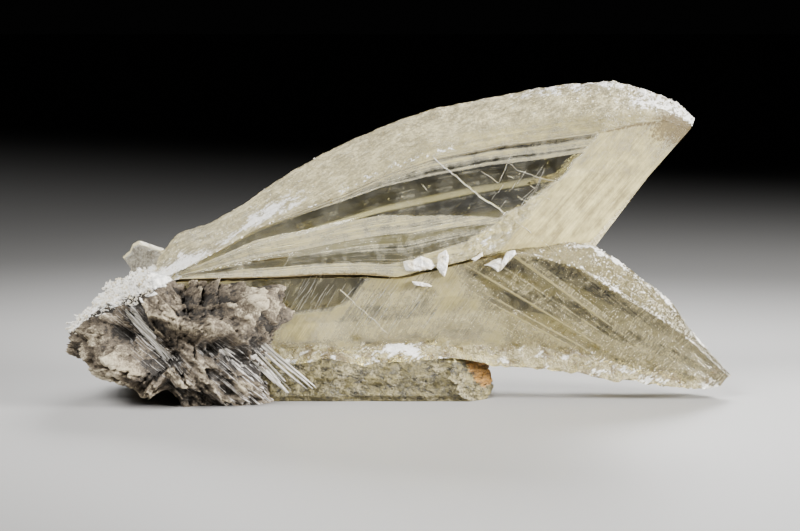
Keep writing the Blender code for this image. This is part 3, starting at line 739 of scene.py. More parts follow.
def stained_selenite(look):
    """The foot blade's finish: cloudy olive crystal, etched in flat scales, orange at its right end."""
    f = Finish("stained_selenite")
    scales = f.noise(f.along((0.0026, 0.0026, 0.0016), -14.0), 1.0, 5.0, 0.7, 1.0)
    mist = f.noise(f.place(), 300.0, 4.0, 0.6)
    grit = f.noise(f.place(), 1500.0, 3.0, 0.6)
    pits = f.step(f.noise(f.along((0.0026, 0.003, 0.0012), -14.0), 1.0, 3.0, 0.6, 0.8), 0.57, 0.64)
    shallow = f.step(f.sum(scales, f.swing(grit, 0.7)), 0.30, 0.66)
    frosty = f.step(f.sum(mist, f.swing(grit, 0.5)), 0.54, 0.66)
    # Painted highlight: lighter cream towards the top of the foot, broken by noise.
    painted_top_highlight = f.step(f.sum(f.layer("pale"), f.swing(mist, 1.4), f.math("SUBTRACT", grit, 0.5)), 0.5, 0.66)
    rusty = f.step(f.sum(f.layer("stain"), f.swing(mist, 1.3), f.swing(grit, 0.8)), 0.35, 0.65)
    rust = f.blend(f.step(grit, 0.35, 0.65), look.stain_dark[:], look.stain[:])
    colour = f.blend(shallow, look.olive_dark[:], look.olive[:])
    colour = f.blend(f.times(frosty, 0.6), colour, look.frosted_dark[:])
    colour = f.blend(painted_top_highlight, colour, look.cream[:])
    colour = f.blend(rusty, colour, rust)
    # Painted shade: the sunken pits are painted near-black.
    colour = f.blend(f.times(pits, 0.75), colour, look.cavity_shade[:])
    f.set(
        base_color=colour,
        transmission_weight=f.step(mist, 0.35, 0.6, 0.42, 0.12),
        roughness=f.step(scales, 0.3, 0.7, 0.30, 0.62),
        ior=CRYSTAL_IOR,
    )
    f.absorb(look.absorption[:], look.absorption_density * FOOT_ABSORPTION)
    f.bump(f.sum(scales, f.times(grit, 0.5), f.times(pits, -0.8)), 0.0009, 0.9)
    return f.material


def cloudy_selenite(look):
    """The side blade's finish: grey, full of fine specks, with pale frosted rims."""
    f = Finish("cloudy_selenite")
    mist = f.noise(f.place(), 420.0, 4.0, 0.65)
    grit = f.noise(f.place(), 1700.0, 3.0, 0.7)
    colour = f.blend(f.step(f.sum(mist, grit), 0.8, 1.2), look.grey_dark[:], look.grey[:])
    colour = f.blend(f.step(f.layer("rim"), 0.3, 0.8), colour, look.frosted[:])
    f.set(base_color=colour, transmission_weight=0.3, roughness=0.4, ior=CRYSTAL_IOR)
    f.absorb(look.absorption[:], look.absorption_density)
    f.bump(f.sum(mist, f.times(grit, 0.6)), 0.0004, 0.6)
    return f.material


def gypsum_rock(look):
    """The rock's finish: grey-brown, with painted shade in its hollows, a painted highlight on its raised
    parts, pale crust and a painted highlight on its edges, painted glints along its fibres, and white under
    the crust.
    """
    f = Finish("gypsum_rock")
    raised, pale, satin, snow = (f.layer(name) for name in ("raised", "pale", "satin", "snow"))
    mist = f.noise(f.place(), 220.0, 5.0, 0.65)
    grit = f.noise(f.place(), 900.0, 4.0, 0.7)
    fine = f.noise(f.place(), 2400.0, 2.0, 0.7)
    fibre = f.noise(f.along((0.014, 0.004, 0.00032), LEDGE_TURN), 1.0, 2.0, 0.6)
    relief = f.sum(raised, f.swing(mist, 1.1), f.swing(grit, 1.7), f.swing(fine, 0.7))
    # Pale crust patches, with a painted highlight where the relief stands out.
    crust_and_edge_highlight = f.step(f.sum(pale, f.times(relief, 0.35)), 0.55, 1.05)
    # Painted glints: streaks along the fibres in the satin zone get a bright colour, and less roughness.
    glints = f.times(f.step(fibre, 0.54, 0.66), satin)
    snowy = f.step(f.sum(snow, f.swing(grit, 0.8)), 0.4, 0.6)
    # Painted shade in the hollows and a painted highlight on the raised parts: the colour follows the
    # relief's height, mixed with noise.
    colour = f.blend(f.step(relief, -0.15, 0.45), look.cavity_shade[:], look.rock[:])
    colour = f.blend(f.step(relief, 0.40, 0.95), colour, look.raised_rock_highlight[:])
    colour = f.blend(crust_and_edge_highlight, colour, look.crust[:])
    colour = f.blend(f.times(glints, 0.75), colour, look.satin[:])
    colour = f.blend(snowy, colour, look.white[:])
    f.set(base_color=colour, roughness=f.step(glints, 0.2, 0.8, 0.82, 0.28), ior=ROCK_IOR)
    fibres = f.times(f.times(fibre, 0.8), satin)
    f.bump(f.sum(f.times(mist, 0.6), grit, f.times(fine, 0.4), fibres), 0.0007, 0.9)
    return f.material


def white_crust(look):
    """The granular crust's finish: chalk-white grains with faint cream hollows."""
    f = Finish("white_crust")
    mist = f.noise(f.place(), 500.0, 3.0, 0.6)
    grit = f.noise(f.place(), 2600.0, 2.0, 0.6)
    f.set(
        base_color=f.blend(f.step(mist, 0.35, 0.6), look.crust[:], look.white[:]),
        roughness=0.6, ior=ROCK_IOR,
    )
    f.bump(grit, 0.0003, 0.6)
    return f.material


def satin_spar(look):
    """The splinters' finish: silky white needles with fine lines along them."""
    f = Finish("satin_spar")
    lines = f.noise(f.along((0.02, 0.0006, 0.0003), LEDGE_TURN), 1.0, 2.0, 0.6)
    f.set(
        base_color=f.blend(f.step(lines, 0.4, 0.6), look.grey[:], look.satin[:]),
        transmission_weight=f.step(lines, 0.4, 0.6, 0.55, 0.2), roughness=0.22, ior=CRYSTAL_IOR,
    )
    f.bump(lines, 0.0002, 0.5)
    return f.material


def crack_veil(look):
    """The finish of a crack inside the clear crystal: a thin bright film."""
    f = Finish("crack_veil")
    mist = f.noise(f.place(), 900.0, 3.0, 0.6)
    f.set(
        base_color=look.white[:], roughness=0.35, ior=ROCK_IOR,
        transmission_weight=f.step(mist, 0.4, 0.6, 0.7, 0.3),
    )
    return f.material


def band_cloud(station, height):
    """How cloudy the upper blade is: its growth bands, whose edges move with the station."""
    edges = [np.interp(station, BAND_STATIONS, heights) for _, *heights in UPPER_BANDS[:-1]]
    return banded(height, edges, [band[0] for band in UPPER_BANDS], BAND_BLUR)


def upper_blade():
    """The upper blade's skin and its finish layers, on a grid of stations by places round the section.

    A station is a row of UPPER_STATIONS, counted from 0. Height runs from 0 at the seam to 1 at the front
    top edge, and on the top face from 0 at that edge to 1 on the ridge.
    """
    count_front, count_top, count_crest, count_back, count_inner = 92, 46, 16, 30, 3
    at, rows = resample(UPPER_STATIONS, UPPER_COLUMNS)
    seam_x, seam_z, edge_x, edge_z, ridge_x, ridge_z, _ = rows.T
    width = np.interp(at, np.arange(len(UPPER_STATIONS)), UPPER_STATIONS[:, 6])
    seam = columns_of(seam_x, -HALF_THICKNESS * width, seam_z)
    edge = columns_of(edge_x, -HALF_THICKNESS * width, edge_z)
    ridge = columns_of(ridge_x, 0.0, ridge_z)
    back_edge = columns_of(edge_x + 1.5 * width, BACK_THICKNESS * width, edge_z + width)
    back_seam = columns_of(seam_x, BACK_THICKNESS * width, seam_z + 0.6)
    inner_back = columns_of(seam_x, 0.8 * BACK_THICKNESS * width, seam_z + 0.6 - JOIN_DEPTH)
    inner_front = columns_of(seam_x, -0.8 * HALF_THICKNESS * width, seam_z - JOIN_DEPTH)
    under_seam = columns_of(seam_x, -0.9 * HALF_THICKNESS * width, seam_z - 0.1)
    grid = np.concatenate([
        stretch(seam, edge, count_front), stretch(edge, ridge, count_top),
        stretch(ridge, back_edge, count_crest), stretch(back_edge, back_seam, count_back),
        stretch(back_seam, inner_back, count_inner), stretch(inner_back, inner_front, count_inner),
        stretch(inner_front, under_seam, count_inner), stretch(under_seam, seam, count_inner),
    ], axis=1)
    total = grid.shape[1]
    row = np.arange(total)
    station = np.repeat(at[:, None], total, axis=1)
    top_end = count_front + count_top
    back_start = top_end + count_crest
    back_end = back_start + count_back
    front = (row < count_front)[None, :]
    top = ((row >= count_front) & (row < top_end))[None, :]
    crest = ((row >= top_end) & (row < back_start))[None, :]
    back = ((row >= back_start) & (row < back_end))[None, :]
    lip = (row >= back_end)[None, :]
    height = np.select(
        [row < count_front, row < top_end, row < back_start],
        [row / count_front, (row - count_front) / count_top, 1.0 - (row - top_end) / count_crest],
        np.clip(1.0 - (row - back_start) / count_back, 0.0, 1.0),
    )
    height = np.repeat(height[None, :], len(at), axis=0)
    x, z = grid[..., 0], grid[..., 2]

    bevel = rise(station, 9.9, 10.15)
    window_end = rise(x - np.interp(z, *WINDOW_END) + 1.2 * smooth_noise(grid, 3.0, 21), -1.2, 1.4)
    bands = band_cloud(station, height)
    root = 1.0 - rise(station, 0.5, 1.8)
    crumble = window_end * (1.0 - bevel)
    cloud = np.where(front, np.maximum(bands, window_end), 0.0)
    glow = bevel * (1.0 + 0.45 * rise(1.0 - height, 0.1, 0.9))
    cloud = np.where(front, np.maximum(cloud, np.maximum(0.9 * root, glow)), cloud)
    smooth_part = rise(station, 5.0, 8.5) * (1.0 - rise(height, 0.25, 0.50))
    cloud = np.where(top | crest, 0.80 + 0.15 * smooth_part, cloud)
    cloud = np.where(back, np.maximum(0.40 * bands, 0.8 * bevel), cloud)
    tip = rise(station, 12.0, 12.9) * rise(height, 0.55, 0.95)
    cloud -= 0.35 * tip * front
    frost = np.where(top | crest, 0.66 - 0.34 * smooth_part, 0.0)
    frost = np.where(front, 0.26 * bevel + 0.40 * crumble + 0.3 * root, frost)
    frost = np.where(back, 0.12 + 0.3 * bevel, frost)

    # White crust: beads along the front edge, and patches on the top face from its tip to its root.
    beads = bell(height, 0.09, 0.07) * rise(station, 4.4, 5.4) * (1.0 - rise(station, 7.2, 7.7))
    beads *= rise(np.sin(station * 40.0 + 55.0 * height) + 1.1 * smooth_noise(grid, 1.7, 22), 0.2, 0.9)
    patches = rise(station, 7.6, 8.8) * rise(height, 0.62, 0.95) * 0.50
    patches = np.maximum(patches, rise(station, 9.6, 11.2) * rise(height, 0.25, 0.6) * 0.58)
    patches = patches + bell(station, 3.4, 0.9) * bell(height, 0.42, 0.26) * 0.55
    patches = patches + 0.46 * bell(height, 0.10 + 0.03 * station, 0.13) * (1.0 - rise(station, 3.0, 4.8))
    patches = patches + (1.0 - rise(station, 0.9, 2.0)) * (0.50 - 0.40 * rise(height, 0.25, 0.7))
    white = np.where(top, np.maximum(beads, patches), 0.0)
    white = np.where(crest, 0.7 * patches, white)
    white = np.where(front, 0.36 * crumble * bell(z, 42.0, 5.0) + 0.5 * root, white)
    tint = np.where(front, 0.5 * tip + 0.30 * bell(height, 0.01, 0.02), 0.0)
    tint = np.where(top, 0.35 * rise(station, 8.5, 10.5) + 0.3 * rise(station, 11.8, 12.8), tint)

    # The relief: bands sunk below the front, etched top faces with lumps of crust, and crumbs at the
    # windows' end.
    sunk = np.interp(height, *UPPER_SUNK) * width[:, None]
    lines = 0.015 * smooth_noise(columns_of(station * 0.15, height * 46.0, 0.0), 1.0, 5)
    grid[..., 1] += np.where(front, sunk + lines * width[:, None], 0.0)
    etch = layered_noise(grid, (0.30, 2.6, 11), (0.16, 1.1, 12), (0.08, 0.55, 13))
    etch += 0.6 * np.sin(np.pi * height) * smooth_noise(grid, 7.0)
    lumps = layered_noise(grid, (0.50, 1.3, 14), (0.30, 0.7, 17)) + 0.2
    lumps *= np.clip(white * 1.4, 0.0, 1.0)
    out = np.where(top | crest, etch * (0.35 + 0.65 * frost) + lumps, 0.0)
    out *= np.clip(width[:, None] * 3, 0.0, 1.0)
    grid[..., 2] += 0.85 * out
    grid[..., 1] -= 0.5 * np.where(top, out, -out)
    crumbs = layered_noise(grid, (0.40, 1.4, 15), (0.30, 0.7, 16))
    grid[..., 1] -= np.where(front, (crumble + 0.4 * root) * crumbs, 0.0)

    # Brown grain near the tip, in the seam and along the front edge.
    stain = rise(station, 10.9, 12.3) * np.where(front, 0.75 * rise(height, 0.74, 0.95), 0.9 - 0.5 * height)
    seam_line = bell(height, 0.0, 0.022) * rise(station, 0.4, 1.0) * (1.0 - rise(station, 6.0, 7.4))
    edge_line = 0.7 * bell(height, 0.99, 0.012) * rise(station, 1.5, 2.5) * (1.0 - rise(station, 4.5, 5.5))
    edge_line += 0.75 * bell(height, 0.985, 0.02) * rise(station, 9.2, 10.5)
    stain = np.where(front, np.maximum(stain, np.maximum(seam_line, edge_line)), stain)
    stain = np.where(back, 0.0, np.where(lip, 0.75 * (1.0 - rise(station, 6.0, 7.5)), stain))
    hidden_edge = lip | (row == 0)[None, :]
    cloud, frost = np.where(hidden_edge, 2.0, cloud), np.where(lip, 0.6, frost)
    streaks = np.where(front, 1.0 - 0.45 * bevel, np.where(top, 0.3 + 0.6 * smooth_part, 0.3))
    over_bevel = front & (station > 9.95)
    layers = {
        "cloud": cloud, "frost": frost, "white": white, "tint": tint, "stain": stain,
        "streaks": streaks, "upper": np.ones_like(x), "wing": np.zeros_like(x),
        "along": np.where(over_bevel, height * 40.0, x),
        "across": np.where(over_bevel, station * 8.0, height * 30.0),
    }
    return body_mesh("upper_blade", grid, layers)


def lower_blade():
    """The lower blade's skin and its finish layers, on a grid of stations by places round the section.

    The strip is the pale sloping face along the top, on both sides of the ridge.
    """
    count_front, count_under, count_back, count_crest, count_strip = 90, 24, 30, 14, 32
    at, rows = resample(LOWER_STATIONS[:, [3, 4, 0, 5, 6, 2, 1, 7, 8]], LOWER_COLUMNS)
    top_x, top_z, ridge_x, low_x, low_z, ridge_z, ridge_y, front_y, back_y = rows.T
    depth = np.minimum(1.0, (back_y - front_y) / 24.0)
    top = columns_of(top_x, front_y, top_z)
    low = columns_of(low_x, front_y + 1.2, low_z)
    back_low = columns_of(low_x, back_y - 1.2, low_z + 0.8)
    back_top = columns_of(top_x, back_y, top_z)
    ridge = columns_of(ridge_x, ridge_y, ridge_z)
    grid = np.concatenate([
        stretch(top, low, count_front), stretch(low, back_low, count_under),
        stretch(back_low, back_top, count_back), stretch(back_top, ridge, count_crest),
        stretch(ridge, top, count_strip),
    ], axis=1)
    total = grid.shape[1]
    row = np.arange(total)
    front = (row < count_front)[None, :]
    under = ((row >= count_front) & (row < count_front + count_under))[None, :]
    strip_start = total - count_strip
    strip = (row >= strip_start - count_crest)[None, :]
    back = ~(front | under | strip)
    share = np.repeat((row / count_front)[None, :], len(at), axis=0)
    x, z = grid[..., 0], grid[..., 2]

    # The clouds: bands that fan out over the wing, and mottles with a grey window on the left.
    fan = np.degrees(np.arctan2(z - WING_FAN[1], WING_FAN[0] - x))
    edges, clouds = zip(*WING_BANDS)
    fan_cloud = banded(fan, edges[:-1], clouds, FAN_BLUR)
    start = rise(x + 0.6 * (z - 30.0), 18.0, 26.0)
    fade = rise(x + 0.5 * (38.0 - z), 58.0, 74.0)
    wing_cloud = fan_cloud + (0.44 - fan_cloud) * np.clip(fade + (1.0 - start), 0.0, 1.0)
    pale = bell(x, -24.0, 9.0) * bell(z, 19.0, 4.0)
    window = rise(x, -41.0, -37.0) * rise(z - np.interp(x, *GREY_WINDOW), -0.8, 1.2) * (x < -8.0)
    window *= 1.0 - rise(x + 0.55 * (31.0 - z), -13.0, -7.0)
    left_cloud = 0.66 + 0.42 * smooth_noise(grid, 6.5, 46) * (1.0 - window) - 0.64 * window + 0.30 * pale
    left_cloud -= 0.55 * bell(x, -11.5, 2.4) * bell(z, 16.4, 1.3)
    left_cloud -= 0.16 * bell(x, -4.0, 8.0) * bell(z, 22.0, 5.0)
    wing = rise(x + 0.6 * (z - 30.0), 14.0, 24.0)
    cloud = left_cloud * (1.0 - wing) + 0.86 * wing_cloud * wing
    cloud = np.where(back, 0.6 * cloud, np.where(front, cloud, 0.50))

    # The rough lower border, its crust with painted glints, and its stain, and the strip's crust.
    rough = 1.0 - rise(z - np.interp(x, *ROUGH_BORDER) + 1.6 * smooth_noise(grid, 5.0, 31), -2.0, 1.6)
    frost = np.where(front | back, 0.48 * rough, 0.24)
    cloud = cloud + (0.50 + 0.7 * smooth_noise(grid, 2.2, 38) - cloud) * rough * (front | back)
    speckle = 0.62 * bell(x, 1.5, 7.0) * bell(z, 14.0, 2.2)
    # Painted glints: white flecks over the rough border.
    glint_flecks = 0.24 + 0.42 * smooth_noise(grid * (0.6, 1.0, 1.0), 1.3, 39)
    white = np.where(front, rough * glint_flecks + speckle * 0.8, 0.1)
    stain = 0.8 * bell(x, 83.0, 1.4) * bell(z, 7.4, 1.2)
    stain = np.where(front, stain + 0.70 * rough * rise(smooth_noise(grid, 2.0, 40), -0.2, 0.4), 0.0)
    scratched = rise(x + 0.4 * (z - 26.0), -22.0, -12.0) * rise(z, 15.0, 20.0)
    streaks = np.where(front, (0.35 + 0.65 * np.maximum(scratched, window)) * (1.0 - wing) + wing, 0.3)
    white = np.where(under, 0.35, white)
    edge_share = np.clip((row - strip_start) / count_strip, 0.0, 1.0)[None, :]
    strip_edges = bell(edge_share, 0.92, 0.09) + bell(edge_share, 0.1, 0.12)
    strip_white = -0.04 + 0.20 * bell(x, 56.0, 4.5) + 0.52 * strip_edges
    strip_white = strip_white + 0.42 * smooth_noise(grid * (0.4, 1.0, 1.0), 2.0, 33)
    open_strip = rise(x, 20.0, 30.0)
    white = np.where(strip, strip_white * open_strip, white)
    stain = np.where(strip, 0.8 * (1.0 - open_strip), stain)
    cloud = np.where(strip, 0.36 + 1.6 * (1.0 - open_strip), cloud)
    tint = np.where(front, 0.58 + 0.3 * rough + 0.28 * wing, 0.80)
    tint = tint - 0.60 * pale * front

    # The relief: bands sunk below the front, and etched borders.
    sunk = np.interp(np.clip(share, 0.0, 1.0), *LOWER_SUNK) * depth[:, None]
    end = np.clip((TIP_X - x) / 12.0, 0.0, 1.0)
    etch = layered_noise(grid, (0.42, 2.4, 34), (0.24, 1.1, 35), (0.12, 0.6, 36))
    grid[..., 1] += np.where(front, sunk * (1.0 - window), 0.0)
    grid[..., 1] -= np.where(front, rough * etch * 0.9 * end, 0.0)
    grid[..., 2] += np.where(under, (etch * 1.1 + 0.9 * smooth_noise(grid, 4.0)) * end, 0.0)
    bumps = etch + 0.5 * np.clip(white, 0.0, 1.0) * (0.4 + smooth_noise(grid, 0.9, 37))
    grid[..., 2] += np.where(strip, bumps * 0.8 * end, 0.0)
    layers = {
        "cloud": cloud, "frost": frost, "white": white, "tint": np.clip(tint, 0.0, 1.0), "stain": stain,
        "streaks": streaks, "upper": np.zeros_like(x), "wing": wing * np.ones_like(x),
        "along": np.hypot(WING_FAN[0] - x, z - WING_FAN[1]), "across": 1.25 * fan,
    }
    return body_mesh("lower_blade", grid, layers)


def foot_body():
    """The foot blade's skin: a loft of its sections whose right end is held back by its crystal faces.

    Each face stands back in steps, like broken plates: a noise over the section, rounded to whole steps.
    """
    along, *columns = FOOT_STATIONS.T
    x = np.linspace(along[0], along[-1], FOOT_COLUMNS)
    front, back, top = (np.interp(x, along, column) for column in columns)
    corners = [
        columns_of(x, front + 1.6, 0.0), columns_of(x, front + 0.2, top * 0.12),
        columns_of(x, front + 0.5, top * 0.32), columns_of(x, front, top * 0.5),
        columns_of(x, front + 1.4, top * 0.74), columns_of(x, front + 4.0, top),
        columns_of(x, back - 3.0, top), columns_of(x, back, top * 0.62),
        columns_of(x, back - 0.4, top * 0.24), columns_of(x, back - 1.8, 0.0),
    ]
    steps = (10, 14, 14, 14, 14, 6, 10, 10, 10, 12)
    sides = zip(corners, corners[1:] + corners[:1], steps)
    grid = np.concatenate([stretch(start, end, count) for start, end, count in sides], axis=1)
    flat = columns_of(grid[..., 0] * 0.7, grid[..., 1], grid[..., 2] * 1.2)
    etch = 0.45 * smooth_noise(grid, 4.0, 3) + 0.40 * smooth_noise(flat, 2.2, 41)
    etch += 0.26 * smooth_noise(flat, 1.1, 42) + 0.13 * smooth_noise(grid, 0.6, 43)
    side = np.where(grid[..., 1] < 0.0, -1.0, 1.0) * rise(grid[..., 2], 0.0, 0.8)
    grid[..., 1] += side * (etch - 0.15)
    middle = grid[-1].mean(axis=0)
    end = middle + (grid[-1] - middle) * np.linspace(0.97, 0.03, FOOT_END_RINGS)[:, None, None]
    end[..., 0] = x[-1] + 0.2 * smooth_noise(end, 1.0, 44)
    grid = np.concatenate([grid, end])
    across = columns_of(0.0, grid[..., 1], grid[..., 2] * 1.7)
    broken = 2.6 * abs(smooth_noise(across, 2.8, 47)) + 0.9 * abs(smooth_noise(across, 1.2, 48))
    chips = CHIP_STEP * np.round(broken)
    for point, way in FOOT_FACES:
        reach = np.dot(point, way) - grid[..., 1] * way[1] - grid[..., 2] * way[2]
        grid[..., 0] = np.minimum(grid[..., 0], reach / way[0] - chips)
    grid[..., 0] -= 0.25 * rise(grid[..., 0], 10.0, 22.0) * abs(smooth_noise(grid, 0.9, 45))
    stain = rise(grid[..., 0] - 0.5 * (9.0 - grid[..., 2]), 16.0, 19.5) * rise(grid[..., 2], 1.0, 6.0)
    # pale: lighter towards the top, where the finish paints a highlight, and in a band at x 14.
    pale = 0.62 * rise(grid[..., 2], 8.5, 12.5) + 0.25 * bell(grid[..., 0], 14.0, 2.5)
    return body_mesh("foot_blade_body", grid, {"stain": stain, "pale": pale})


def plate_body(name, outline, front, back, rim, bulge, seed):
    """A flat piece: rings drawn in from its outline to its middle, on the front and on the back.

    Ring k lies a share s of the way out, at the broad face's depth for s below the rim and easing
    to the half depth at s = 1. The layer called rim is 1 on the edge and 0 on the broad faces.
    """
    outline = np.array(outline)
    closed = np.concatenate([outline, outline[:1]])
    length = lengths_along(closed)
    around = np.linspace(0.0, length[-1], PLATE_AROUND, endpoint=False)
    edge = np.stack([np.interp(around, length, column) for column in closed.T], axis=1)
    middle = outline.mean(axis=0)
    inner = 0.04
    shares = np.concatenate([np.linspace(inner, 1.0, PLATE_RINGS), np.linspace(1.0, inner, PLATE_RINGS)])
    side = np.repeat((-1.0, 1.0), PLATE_RINGS)
    grid = np.empty((2 * PLATE_RINGS, PLATE_AROUND, 3))
    ease = rise(shares, 1.0 - rim, 1.0)
    depth_middle, half = (front + back) / 2, (back - front) / 2
    ring = middle + (edge - middle)[None] * shares[:, None, None]
    grid[..., 0], grid[..., 2] = ring[..., 0], ring[..., 1]
    grid[..., 1] = (depth_middle + side * half * np.sqrt(1.0 - 0.9 * ease ** 2))[:, None]
    shake = bulge * (smooth_noise(grid, 1.5, seed) + 0.7 * smooth_noise(grid, 0.5, seed + 1))
    grid[..., 1] += shake * side[:, None]
    grid[..., 0] += 0.6 * shake * shares[:, None]
    grid[..., 2] += 0.6 * np.roll(shake, PLATE_AROUND // 4, axis=1) * shares[:, None]
    return body_mesh(name, grid, {"rim": np.repeat(ease[:, None], PLATE_AROUND, axis=1)})


def outline_reach(angles):
    """How far the rock's outline lies from its middle in each direction of the front view."""
    outline = np.array(ROCK_OUTLINE) - ROCK_MIDDLE
    turn = np.arctan2(outline[:, 1], outline[:, 0])
    reach = np.hypot(outline[:, 0], outline[:, 1])
    order = np.argsort(turn)
    return np.interp(angles, turn[order], reach[order], period=2 * np.pi)


def rock_surface(ways):
    """The rock's smooth surface: a blunt ellipsoid whose rim follows the outline of the front view."""
    along, deep, up = np.moveaxis(ways, -1, 0)
    side = np.maximum(np.hypot(along, up), 1e-9)
    angles = np.arctan2(up, along)
    blunt = (side ** ROCK_SQUARENESS + abs(deep) ** ROCK_SQUARENESS) ** (-1.0 / ROCK_SQUARENESS)
    share, bend = side * blunt, deep * blunt
    oval = 1.0 / np.hypot(np.cos(angles) / ROCK_OVAL[0], np.sin(angles) / ROCK_OVAL[1])
    reach = (oval + (outline_reach(angles) - oval) * share ** 2) * share
    reach *= 1.0 - ROCK_BACK_SHORTENING * np.clip(bend, 0.0, 1.0) * np.clip(np.cos(angles), 0.0, 1.0)
    depth = np.where(bend < 0, ROCK_SIDE_DEPTH - ROCK_FRONT, ROCK_BACK - ROCK_SIDE_DEPTH)
    return columns_of(
        ROCK_MIDDLE[0] + np.cos(angles) * reach,
        ROCK_SIDE_DEPTH + bend * depth,
        ROCK_MIDDLE[1] + np.sin(angles) * reach,
    )


def turned(points, middle, degrees):
    """Places in the front view, measured along and across a way that is turned from +X about a middle."""
    turn = np.radians(degrees)
    x, z = points[..., 0] - middle[0], points[..., 2] - middle[1]
    return x * np.cos(turn) + z * np.sin(turn), z * np.cos(turn) - x * np.sin(turn)


def rock_relief(points):
    """How far the rock's surface stands out: its forms, its lumps and ledges, and its plates and chunks."""
    front = np.clip((ROCK_SIDE_DEPTH - 4.0 - points[..., 1]) / 10.0, 0.0, 1.0)
    forms = np.zeros(points.shape[:-1])
    for x, z, half_length, half_width, degrees, size in ROCK_FORMS:
        along, across = turned(points, (x, z), degrees)
        forms += front * size * np.exp(-((along / half_length) ** 2 + (across / half_width) ** 2) * 0.8)
    lumps = sum(lump * smooth_noise(points, size, seed) for seed, (size, lump) in enumerate(ROCK_LUMPS))
    along, across = turned(points, ROCK_MIDDLE, LEDGE_TURN)
    layer = across / LEDGE_PITCH + 0.5 * smooth_noise(points, 9.0, 7)
    ledges = LEDGE_HEIGHT * ((layer - np.floor(layer)) - 0.5)
    plates = columns_of(along / 2.4, points[..., 1] / 1.5, across)
    broken = sum(high * chunks(plates, size, 50 + 9 * i) for i, (size, high) in enumerate(ROCK_PLATES))
    broken += sum(high * chunks(points, size, 80 + 9 * i) for i, (size, high) in enumerate(ROCK_CHUNKS))
    return forms, lumps + ledges, broken


def on_rock(ways):
    """Places on the rock's finished surface in the given directions, the way out there, and its relief."""
    surface = rock_surface(ways)
    core = np.array((ROCK_MIDDLE[0], ROCK_SIDE_DEPTH, ROCK_MIDDLE[1]))
    outward = surface - core
    outward /= np.linalg.norm(outward, axis=-1, keepdims=True)
    forms, lumps, broken = rock_relief(surface)
    surface = surface + outward * (forms + lumps + broken)[..., None]
    return surface, outward, forms, lumps, broken


def rock_body():
    """The rock's skin: directions on a sphere with its poles on the long axis, cut off flat below."""
    pole = 0.02
    around = np.linspace(0.0, 2.0 * np.pi, ROCK_TURNS, endpoint=False)
    down = np.linspace(pole, np.pi - pole, ROCK_RINGS)[:, None]
    ways = columns_of(-np.cos(down), -np.sin(down) * np.cos(around), np.sin(down) * np.sin(around))
    surface, _, forms, lumps, broken = on_rock(ways)
    surface[..., 2] = np.maximum(surface[..., 2], 0.0)
    x, y, z = np.moveaxis(surface, -1, 0)
    # raised is the relief's height: from it the finish paints shade in the hollows and a highlight on the
    # raised parts.
    raised = 0.25 + 0.08 * forms + 0.08 * lumps + 0.34 * broken
    snow_line = np.interp(x, (-88.0, -80.0, -70.0, -62.0, -55.0), (17.5, 23.5, 28.0, 30.5, 34.0))
    snow = rise(z - snow_line + 0.9 * broken, -1.2, 1.2) * (1.0 - rise(x, -62.0, -56.0))
    # pale: crust at the upper right and under the snow, a painted highlight on the left end, and paler
    # behind.
    pale = 0.45 * bell(x, -40.0, 9.0) * rise(z, 20.0, 25.0) + 0.4 * bell(x, -76.0, 10.0) + 0.3 * snow
    pale = pale * (1.0 - rise(y, 0.0, 12.0)) + 0.4 * rise(y, 0.0, 12.0)
    # satin is the fibrous zone, where the finish paints glints along the fibres.
    gap, across = turned(surface, (-62.5, 15.0), -48.0)
    satin = np.exp(-((gap / 13.0) ** 2 + (across / 3.2) ** 2))
    satin = np.maximum(satin, rise(x, -50.0, -44.0) * (1.0 - rise(z, 12.0, 18.0)))
    satin = np.maximum(satin, 0.8 * bell(x, -47.0, 5.0) * bell(z, 15.0, 3.4))
    layers = {"raised": raised, "pale": pale, "satin": satin, "snow": snow}
    return body_mesh("rock_body", surface, layers)


def grain_mesh(name, places, sizes, rng):
    """Many small angular grains as one mesh: a ball of one subdivision, shaken, at each place."""
    ball = bmesh.new()
    bmesh.ops.create_icosphere(ball, subdivisions=1, radius=1.0)
    unit = np.array([vert.co for vert in ball.verts])
    faces = np.array([[vert.index for vert in face.verts] for face in ball.faces])
    ball.free()
    count = len(places)
    shake = 1.0 + rng.uniform(-0.28, 0.28, (count, len(unit), 1))
    squash = rng.uniform(0.6, 1.25, (count, 1, 3))
    points = places[:, None, :] + unit[None] * shake * squash * sizes[:, None, None]
    points[..., 2] = np.maximum(points[..., 2], GRAIN_CLEARANCE)
    triangles = (faces[None] + (np.arange(count) * len(unit))[:, None, None]).reshape(-1, 3)
    return mesh_of(name, points.reshape(-1, 3), triangles.tolist())


